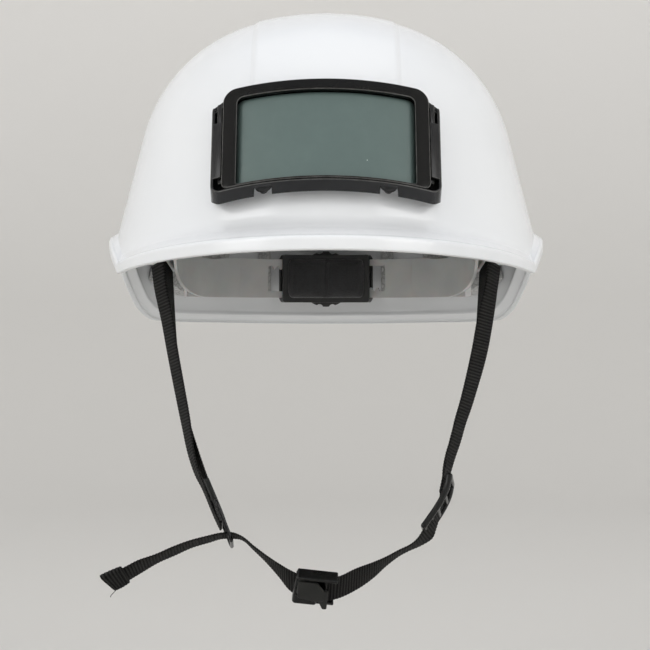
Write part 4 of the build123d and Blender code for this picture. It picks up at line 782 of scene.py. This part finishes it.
def webbing_run(stations, width=15.0, thickness=1.3, rib=0.26):
    """Ribbed webbing along a smooth path. Stations give centre and width direction; the path is a cubic through
    them. Each section is a rounded bar, w = half width * sign(cos a) |cos a|^0.3, t = half thickness * sign(sin a)
    |sin a|^0.62; the thickness swells as |sin| of the distance over the rib pitch, and edges step in between ribs."""
    centres = np.array([p for p, _ in stations], float)
    widths = np.array([d for _, d in stations], float)
    for k in range(1, len(widths)):
        if widths[k] @ widths[k - 1] < 0:
            widths[k] = -widths[k]
    knots = run_length(centres)
    at = np.linspace(0.0, knots[-1], int(knots[-1] / WEBBING_STEP) + 1)
    centre, across = cubic(knots, centres, at), unit(cubic(knots, widths, at))
    along = unit(np.gradient(centre, at, axis=0))
    up = unit(np.cross(along, across))
    swell = np.abs(np.sin(np.pi * at / RIB_PITCH)) ** 0.8
    half_width = width / 2 - EDGE_STEP * (1 - swell)
    half_depth = thickness / 2 - rib * (1 - swell)
    around = whole_turn(32)
    w, t = squared(around, 0.3)[0], squared(around, 0.62)[1]
    grid = (centre[:, None, :] + across[:, None, :] * (half_width[:, None] * w)[..., None]
            + up[:, None, :] * (half_depth[:, None] * t)[..., None])
    cloth = np.stack(np.broadcast_arrays(at[:, None], 7.5 * w[None, :]), -1)
    return capped(grid, cloth)


STRAPS = {
    "ear_strap_front_left": [
        ((-85.5, -28.7, -7.2), (-.48, .85, -.20)), ((-84.1, -29.2, -18.3), (.46, -.86, .18)),
        ((-80.6, -30.0, -35.0), (.44, -.88, .16)), ((-77.4, -32.0, -52.7), (.41, -.90, .17)),
        ((-74.0, -34.3, -69.9), (.39, -.91, .18)), ((-70.5, -36.4, -87.4), (.35, -.92, .19)),
        ((-67.2, -38.5, -104.8), (.22, -.95, .24)), ((-64.9, -40.2, -112.0), (.15, -.95, .28)),
        ((-61.3, -42.4, -119.2), (.09, -.95, .31)), ((-57.6, -45.2, -127.8), (.06, -.95, .31)),
        ((-54.3, -47.6, -135.0), (.06, -.95, .31)), ((-52.2, -49.0, -139.0), (.06, -.95, .31))],
    "ear_strap_rear_left": [
        ((-85.4, 32.7, -6), (.28, .82, -.50)), ((-80.6, 12.5, -42), (-.12, -.83, .55)),
        ((-74.2, -16, -76), (.02, -.78, .63)), ((-65.4, -36.0, -104.1), (.14, -.82, .54)),
        ((-60.8, -40.0, -114.5), (.10, -.92, .38)), ((-56.9, -42.6, -123.5), (.07, -.94, .33)),
        ((-54.0, -45.4, -131.0), (.06, -.95, .31))],
    "ear_strap_front_right": [
        ((85.6, -28.7, -7.2), (.48, .85, -.20)), ((84.0, -29.2, -18.3), (-.47, -.86, .18)),
        ((80.8, -30.0, -35.0), (-.58, -.80, .16)), ((77.4, -32.0, -52.7), (-.57, -.80, .17)),
        ((72.9, -34.3, -69.9), (-.50, -.85, .18)), ((70.3, -35.4, -78.9), (-.46, -.87, .20)),
        ((67.5, -36.4, -87.4), (-.42, -.88, .20)), ((65.1, -37.5, -96.4), (-.38, -.90, .22)),
        ((62.3, -38.5, -104.8), (-.35, -.91, .25)), ((60.6, -40.0, -111.2), (-.30, -.92, .27)),
        ((59.3, -42.0, -118.6), (-.20, -.93, .31)), ((57.7, -44.5, -125.9), (-.16, -.93, .33))],
    "ear_strap_rear_right": [
        ((85.4, 32.7, -5.9), (-.27, .82, -.50)), ((80.4, 12.5, -42), (.12, -.83, .55)),
        ((71.4, -16, -76), (-.03, -.77, .63)), ((62.6, -35.5, -103.1), (-.16, -.81, .56)),
        ((60.0, -39.6, -112.9), (-.14, -.92, .37)), ((57.4, -42.8, -123.6), (-.12, -.93, .35))],
    "chin_strap_left": [
        ((-103.5, -59.3, -163.6), (-.27, -.78, .57)), ((-99.2, -59.0, -161.5), (-.16, -.85, .51)),
        ((-91.4, -58.5, -157.2), (-.07, -.87, .49)), ((-83.1, -58.0, -153.4), (0, -.92, .38)),
        ((-74.8, -57.3, -149.8), (0, -.92, .38)), ((-66.5, -56.5, -146.5), (0, -.94, .33)),
        ((-58.2, -55.0, -144.3), (0, -.95, .31)), ((-51.9, -52.6, -142.9), (0, -.96, .28)),
        ((-47.8, -50.5, -142.9), (.07, -.95, .30)), ((-41.9, -54.5, -143.6), (0, -.97, .22)),
        ((-35.3, -60.5, -148.1), (0, -.97, .25)), ((-28.5, -66.5, -153.1), (0, -.93, .36)),
        ((-22.3, -72.0, -157.9), (0, -.83, .56)), ((-17.4, -75.6, -161.8), (0, -.66, .75)),
        ((-12.3, -77.6, -164.2), (.02, -.60, .80)), ((-7.3, -78.0, -165.0), (.05, -.60, .80))],
    "chin_strap_right": [
        ((55.6, -46.9, -132.0), (-.16, -.92, .35)), ((53.1, -48.8, -137.4), (-.26, -.89, .38)),
        ((50.6, -50.0, -142.0), (-.33, -.86, .40)), ((46.6, -51.0, -145.8), (-.18, -.93, .33)),
        ((41.0, -53.5, -148.8), (0, -.95, .29)), ((36.5, -56.0, -150.7), (0, -.95, .31)),
        ((29.4, -60.5, -154.6), (0, -.91, .42)), ((23.2, -66.0, -158.0), (0, -.79, .61)),
        ((13.4, -73.0, -162.2), (.03, -.60, .80)), ((6.1, -77.0, -165.0), (.05, -.60, .80)),
        ((1.0, -77.9, -166.1), (.05, -.60, .80))],
}
for strap_name, strap_stations in STRAPS.items():
    make_piece(strap_name + "_webbing", [webbing_run(strap_stations)], "helmet", WEBBING, (strap_name,))


def hem_patches():
    """Folded tail end: two plies of webbing pressed together and a rolled fold, then two rows of lock stitches as
    short rounded bars, and one frayed yarn that curls off the last corner."""
    stations = [((-98.4, -59.2, -161.0), (-.16, -.84, .52)), ((-103.0, -59.6, -163.3), (-.26, -.79, .56)),
                ((-107.3, -60.0, -165.2), (-.36, -.79, .49))]
    centres = np.array([c for c, _ in stations])
    widths = unit(np.array([w for _, w in stations]))
    knots = run_length(centres)
    made = [webbing_run(stations, 16.2, 3.3, 0.3)]
    up = unit(np.cross(centres[-1] - centres[0], widths[1]))
    for share in (0.2, 0.8):
        at = np.array([share * knots[-1]])
        middle, across = cubic(knots, centres, at)[0], unit(cubic(knots, widths, at))[0]
        for place in np.linspace(-6.4, 6.4, 8):
            for face in (-1.45, 1.45):
                ends = middle + across * place + up * face + np.array([[-0.62], [0.62]]) * across
                made.append(bar(ends, up, 0.28, 0.28))
    turn = np.linspace(0.0, 1.0, 26)[:, None]
    last = centres[-1] + widths[-1] * -7.2
    curl = last + turn * np.array([-0.6, 0.4, -3.9]) + np.sin(turn * 5.5) * np.array([1.1, 0.3, 0.5])
    made.append(bar(curl, np.array([0.0, 1.0, 0.0]), 0.16, 0.16))
    return made


def bar(path, side, half_side, half_up, corner=None, power=0.55, closed=False, sides=16):
    """Rounded bar along a path of points: each section is side * a sign(cos)|cos|^power plus up * b
    sign(sin)|sin|^power. Towards an open end both half sizes follow a quarter circle of the corner radius down to a
    small face."""
    path = np.asarray(path, float)
    corner = min(half_side, half_up) * 0.8 if corner is None else corner
    if not closed:
        knots = run_length(path)
        q = corner * (1 - np.cos(quarter(6)))
        inner = knots[(knots > corner * 1.02) & (knots < knots[-1] - corner * 1.02)]
        at = np.concatenate([q, inner, knots[-1] - q[::-1]])
        path = np.stack([np.interp(at, knots, path[:, k]) for k in range(3)], -1)
        gap = np.clip(1 - np.minimum(at, knots[-1] - at) / corner, 0.0, 1.0)
        shrink = corner * (1 - np.sqrt(1 - gap ** 2))
    else:
        shrink = np.zeros(len(path))
    along = unit(np.roll(path, -1, 0) - np.roll(path, 1, 0)) if closed else unit(np.gradient(path, axis=0))
    side = np.broadcast_to(side, path.shape)
    side = unit(side - along * np.einsum("ij,ij->i", side, along)[:, None])
    up = np.cross(along, side)
    c, d = squared(whole_turn(sides), power)
    grid = (path[:, None, :] + side[:, None, :] * ((half_side - shrink)[:, None] * c)[..., None]
            + up[:, None, :] * ((half_up - shrink)[:, None] * d)[..., None])
    return patch(grid, rows_round=closed, cap_first=not closed, cap_last=not closed)


make_piece("strap_end_hem_webbing", hem_patches(), "helmet", WEBBING, ("strap_end_hem",))


# ---------------------------------------------------------------- sliders and ring
SLIDER_WIDTH, RAIL, SLIDER_THICK = 18.6, 2.2, 3.0


def slider_patches(knots, across, bars):
    """Ladder of a slider: two side rails that follow a smooth path at half a width either side, and cross bars at
    given shares of it, each a rounded bar across."""
    knots, across = np.array(knots, float), unit(np.array(across, float))
    length = run_length(knots)
    at = np.linspace(0.0, length[-1], 40)
    path = cubic(length, knots, at)
    reach = (SLIDER_WIDTH - RAIL) / 2
    made = [bar(path + side * reach * across, across, RAIL / 2, SLIDER_THICK / 2, 0.9) for side in SIDES]
    for share, half_along, half_up in bars:
        shares = np.array([max(share - 0.02, 0.0), share, min(share + 0.02, 1.0)])
        before, middle, after = cubic(length, knots, shares * length[-1])
        along = unit(after - before)
        run = middle + np.linspace(-reach - RAIL * 0.3, reach + RAIL * 0.3, 12)[:, None] * across
        made.append(bar(run, along, half_along, half_up))
    return made


def ring_patches(centre, along, across, long, wide, corner, wire):
    """Bent wire ring: a rounded rectangle in the plane of two directions, with a round wire carried along it."""
    along, across = unit(np.array(along, float)), unit(np.array(across, float))
    u, v, turn = four_corners((-long / 2, long / 2), (-wide / 2, wide / 2), corner, 8)
    u, v = (u + corner * np.cos(turn))[:, None], (v + corner * np.sin(turn))[:, None]
    loop = np.array(centre, float) + u * along + v * across
    dense = np.arange(len(loop) * 4) / 4.0
    closed = np.vstack([loop, loop[:1]])
    loop = np.stack([np.interp(dense, np.arange(len(closed)), closed[:, k]) for k in range(3)], -1)
    return [bar(loop, np.cross(along, across), wire, wire, power=1.0, closed=True, sides=14)]


SLIDER_BARS = ((0.045, 1.3, 1.5), (0.36, 1.0, 1.25), (0.66, 1.0, 1.25), (0.955, 1.3, 1.5))
make_piece("jaw_slider_left_ladder",
           slider_patches([(-60.1, -41.6, -117.2), (-56.5, -44.0, -125.2), (-53.2, -46.0, -132.6),
                           (-51.0, -47.6, -138.0)], (.05, -.95, .30), SLIDER_BARS),
           "helmet", BUCKLE_BLACK, ("jaw_slider_left",))
make_piece("jaw_slider_right_ladder",
           slider_patches([(62.5, -42.0, -115.1), (60.9, -44.0, -121.9), (58.3, -45.8, -127.2), (55.2, -47.2, -132.1),
                           (51.7, -48.6, -136.9), (48.6, -50.0, -141.0)], (-.12, -.93, .35),
                          SLIDER_BARS[:2] + ((0.60, 1.0, 1.25), (0.78, 0.9, 1.2), (0.965, 1.3, 1.5))),
           "helmet", BUCKLE_BLACK, ("jaw_slider_right",))
make_piece("strap_ring_wire", ring_patches((-50.6, -49.6, -137.2), (7.7, -1.0, -19.6), (.03, -.95, .31), 21.0, 18.4,
                                           2.4, 0.95),
           "helmet", BLACK_STEEL, ("strap_ring",))


# ---------------------------------------------------------------- chin buckle
BUCKLE_ORIGIN = np.array([-5.3, -78.0, -165.6])
BUCKLE_AXES = np.array([[.9986, .0315, -.0418], [.0523, -.601, .7975], [0, -.7986, -.6018]])
FRAME_LEAN, PLATE_EDGE = math.radians(5.5), 0.4


def in_buckle(grid):
    """Buckle points (along, across, outwards) carried to their place: origin plus each number times its axis."""
    return BUCKLE_ORIGIN + grid @ BUCKLE_AXES


def buckle_plate(corners, z_span, round_corner):
    """Flat plate with rounded corners and edges: its outline is the corner points pulled into arcs by quadratic
    Bezier curves, shrunk towards its middle along a quarter circle near both faces."""
    corners = np.array(corners, float)
    before, after = np.roll(corners, 1, 0), np.roll(corners, -1, 0)
    start = corners + unit(before - corners) * round_corner
    end = corners + unit(after - corners) * round_corner
    t = np.linspace(0.0, 1.0, 7)[None, :, None]
    loop = ((1 - t) ** 2 * start[:, None] + 2 * t * (1 - t) * corners[:, None] + t ** 2 * end[:, None]).reshape(-1, 2)
    middle = loop.mean(0)
    grown, z = round_faces(z_span, PLATE_EDGE)
    inset = PLATE_EDGE * (1 - grown)
    away = loop - middle
    size = np.linalg.norm(away, axis=1).mean()
    flat = middle + away * (1 - inset[:, None, None] / size)
    grid = np.concatenate([flat, np.broadcast_to(z[:, None, None], flat.shape[:2] + (1,))], -1)
    return capped(in_buckle(grid))


def buckle_block(spans, corner):
    """Soft block of the buckle, turned in its plane by the frame's lean."""
    grid = soft_block(spans, corner)
    c, d = math.cos(FRAME_LEAN), math.sin(FRAME_LEAN)
    x, y = grid[..., 0] * c + grid[..., 1] * d, grid[..., 1] * c - grid[..., 0] * d
    return capped(in_buckle(np.stack([x, y, grid[..., 2]], -1)))


make_piece("buckle_frame_moulded", [
    buckle_block(((-9.8, 9.8), (8.7, 10.4), (-2.6, 4.3)), 0.7),
    buckle_block(((-9.6, 10.2), (-8.9, -7.6), (-2.6, 1.2)), 0.55),
    buckle_block(((-9.8, 10.0), (-8.4, 9.2), (-2.6, -1.4)), 0.5),
    buckle_block(((-10.2, -8.3), (-8.4, 9.4), (-2.4, 2.2)), 0.8),
    buckle_block(((-10.1, 1.8), (-8.9, -2.6), (-2.0, 2.9)), 1.5),
    buckle_block(((3.6, 5.8), (-8.0, 9.0), (-1.6, 1.0)), 0.9)],
    "helmet", BUCKLE_BLACK, ("buckle_frame",))
make_piece("buckle_lever_cover", [
    buckle_plate([(-8.6, 8.7), (1.0, 7.5), (4.3, 2.3), (4.3, -4.0), (1.5, -4.7), (-8.4, -2.2)], (3.0, 4.4), 1.0),
    buckle_plate([(2.2, 2.6), (6.3, 2.3), (6.0, -9.6), (3.8, -9.6), (1.9, -4.6)], (2.9, 4.3), 0.9),
    buckle_block(((-8.9, -5.9), (-2.0, 7.6), (1.2, 3.6)), 1.1)],
    "lever", LEVER_GREY, ("buckle_lever",))
pin_run = in_buckle(np.array([[-7.4, -5.2, 2.0], [-7.4, 8.4, 2.0]]))
make_piece("buckle_pin_steel", [bar(pin_run, BUCKLE_AXES[0], 0.75, 0.75, power=1.0)], "lever", STEEL,
           ("buckle_pin",))


# ---------------------------------------------------------------- pads
def pad_surface(places, inward, half_height, thickness):
    """Crowned pad on a curved wall. Along it run places on the wall and inward directions; across, a height v from
    -1 to 1. The wall side is flat; the skin side stands off by thickness * sqrt(1 - |v|^5), and both meet in the
    seam. The thickness and the height fall off at both ends as roots of 1 - |u|^n of the place u along the pad."""
    u = np.linspace(-1.0, 1.0, len(places))
    thick = thickness * (0.12 + 0.88 * np.sqrt(1 - np.abs(u) ** 24))
    tall = half_height * (0.80 + 0.20 * np.sqrt(1 - np.abs(u) ** 30))
    wall, skin = np.linspace(-1.0, 1.0, 15), np.linspace(1.0, -1.0, 17)[1:-1]
    v = np.concatenate([wall, skin])
    off = np.concatenate([0 * wall, np.sqrt(1 - np.abs(skin) ** 5)])
    grid = (places[:, None, :] + inward[:, None, :] * (thick[:, None] * off)[..., None]
            + np.array([0.0, 0.0, 1.0]) * (tall[:, None] * v)[..., None])
    return grid, len(wall)


def puff_up(piece, sewn, pressure, cap):
    """Cloth simulation of the stuffed cover: pressure inside, no gravity, the wall side and the stitches held, 20
    frames. Each point then moves by its own way w cut to cap * tanh(|w| / cap), and the modifier is taken off."""
    mesh = piece.data
    start = np.zeros(len(mesh.vertices) * 3)
    mesh.vertices.foreach_get("co", start)
    start = start.reshape(-1, 3)
    piece.vertex_groups.new(name="sewn").add([int(k) for k in sewn], 1.0, "REPLACE")
    cloth = piece.modifiers.new("padding", "CLOTH")
    cloth.settings.vertex_group_mass = "sewn"
    cloth.settings.use_pressure = True
    cloth.settings.uniform_pressure_force = pressure
    cloth.settings.effector_weights.gravity = 0.0
    cloth.settings.mass = 0.1
    for number in range(1, 21):
        bpy.context.scene.frame_set(number)
    settled = piece.evaluated_get(bpy.context.evaluated_depsgraph_get()).to_mesh()
    end = np.zeros(len(start) * 3)
    settled.vertices.foreach_get("co", end)
    way = end.reshape(-1, 3) - start
    length = np.linalg.norm(way, axis=1, keepdims=True)
    way *= cap * np.tanh(length / cap) / np.maximum(length, 1e-9)
    piece.modifiers.remove(cloth)
    mesh.vertices.foreach_set("co", (start + way).ravel())
    mesh.update()
    bpy.context.scene.frame_set(1)


def stuffed_pad(name, node, run, half_height, thickness, channels, pressure, cap):
    """Padded piece: the crowned surface, sewn channels across it at given columns, puffed up and subdivided once."""
    grid, wall = pad_surface(*run, half_height, thickness)
    rows, around = grid.shape[:2]
    dent = np.zeros(rows)
    for column in channels:
        dent = np.maximum(dent, np.exp(-((np.arange(rows) - column) / 0.7) ** 2))
    ring = np.arange(around) >= wall
    grid[:, ring] -= run[1][:, None, :] * (0.62 * thickness * dent)[:, None, None]
    piece = make_piece(name, [capped(grid)], "helmet", SWEAT, (node,))
    index = np.arange(rows * around).reshape(rows, around)
    sewn = np.concatenate([index[:, :wall].ravel(), index[[0, -1]].ravel(), index[list(channels)].ravel(),
                           [rows * around, rows * around + 1]])
    puff_up(piece, sewn, pressure, cap)
    smooth = piece.modifiers.new("smooth", "SUBSURF")
    smooth.levels = smooth.render_levels = 1
    return piece


def wall_run(half_turn, count, wide, deep, height):
    """Places and inward directions round an upright oval about x 0 and y 20: (wide sin t, 20 + deep cos t)."""
    turn = np.linspace(-math.radians(half_turn), math.radians(half_turn), count)
    places = np.stack([wide * np.sin(turn), 20.0 + deep * np.cos(turn), np.full_like(turn, height)], -1)
    return places, unit(np.stack([-np.sin(turn) / wide, -np.cos(turn) / deep, 0 * turn], -1))


stuffed_pad("sweatband_padded", "sweatband", wall_run(70.4, 133, 78.7, -117.7, 13.5), 12.3, 2.3,
            (22, 44, 66, 88, 110), 260.0, 0.0008)
stuffed_pad("nape_pad_padded", "nape_pad", wall_run(16.0, 31, 79.0, 79.0, -12.0), 11.6, 3.0, (15,), 420.0, 0.0010)


# ---------------------------------------------------------------- pieces that keep the CAD shape
CARRIED = (
    (FOAM, ["impact_liner"]),
    (STEEL, ["tray_nuts", "adjuster_knob_screw"]),
    (DARK, ["adjuster_housing", "adjuster_cover", "adjuster_knob", "adjuster_pinion"]),
    (NATURAL, ["crown_hammock", "headband", "adjuster_rack_left", "adjuster_rack_right"]
     + [f"suspension_clip_{place}_{hand}" for place in ("front", "temple", "ear", "rear")
        for hand in ("left", "right")]),
)


def carry(name, material):
    """Keeps a CAD node's own shape and gives it a material on every slot."""
    slots = nodes[name].data.materials
    for k in range(len(slots)):
        slots[k] = material
    if not slots:
        slots.append(material)


for carried_material, carried_names in CARRIED:
    for carried_name in carried_names:
        carry(carried_name, carried_material)


# ---------------------------------------------------------------- floor and light
FLOOR_DEPTH = 262


def studio():
    """Round floor whose edge curves up into a wall: radius 2.4 m, floor level 262 mm below the origin."""
    finish = Finish("studio_paper")
    # Painted light on the paper: its colour is darker on the floor and low on the wall and grows lighter up the wall,
    # with a faint random drift.
    level = finish.math("ADD", finish.split(finish.place)[2], finish.number(finish.noise(3.0), -0.01, 0.01))
    finish.feed(Base_Color=finish.colour(level, (0.68, 0.667, 0.637), (0.985, 0.97, 0.945), 0.0, 1.0),
                Roughness=0.95, Specular_IOR_Level=0.1)
    turn = whole_turn(96)
    bend = quarter(20)
    radius = np.concatenate([[50, 500, 1000, 1400], 1400 + 1000 * np.sin(bend[1:]), [2400, 2400]])
    height = np.concatenate([[0, 0, 0, 0], 1000 * (1 - np.cos(bend[1:])), [1800, 3000]]) - FLOOR_DEPTH
    grid = np.stack([radius[:, None] * np.cos(turn), radius[:, None] * np.sin(turn),
                     np.broadcast_to(height[:, None], (len(height), len(turn)))], -1)
    points, quads, fans, _ = patch(grid, cap_first=True)
    mesh = bpy.data.meshes.new("studio_floor")
    mesh.from_pydata((points * MM).tolist(), [], quads[:, ::-1].tolist() + fans[:, ::-1].tolist())
    mesh.polygons.foreach_set("use_smooth", np.full(len(mesh.polygons), True))
    mesh.materials.append(finish.material)
    floor = bpy.data.objects.new("studio_floor", mesh)
    bpy.context.scene.collection.objects.link(floor)


def softbox(name, place, size, power):
    """Rectangular lamp at a place in metres, aimed at the origin."""
    lamp = bpy.data.lights.new(name, "AREA")
    lamp.shape = "RECTANGLE"
    lamp.size, lamp.size_y = size
    lamp.energy = power
    holder = bpy.data.objects.new(name, lamp)
    holder.location = place
    away = unit(np.array(place, float))
    holder.rotation_euler = (math.acos(away[2]), 0.0, math.atan2(away[0], -away[1]))
    holder.visible_camera = False
    bpy.context.scene.collection.objects.link(holder)


def light():
    """Two large softboxes at the front corners, a wide one overhead and a pale sky."""
    studio()
    softbox("softbox_left", (-1.5, -1.25, 0.6), (1.1, 1.5), 16.1)
    softbox("softbox_right", (1.5, -1.25, 0.6), (1.1, 1.5), 14.7)
    softbox("softbox_top", (0.0, 0.1, 1.9), (1.8, 1.8), 3.6)
    world = bpy.data.worlds.new("studio_air")
    bpy.context.scene.world = world
    world.use_nodes = True
    sky = world.node_tree.nodes["Background"].inputs
    sky["Color"].default_value, sky["Strength"].default_value = (0.93, 0.95, 1.0, 1.0), 0.71


light()
bpy.context.scene.view_settings.view_transform = "Standard"
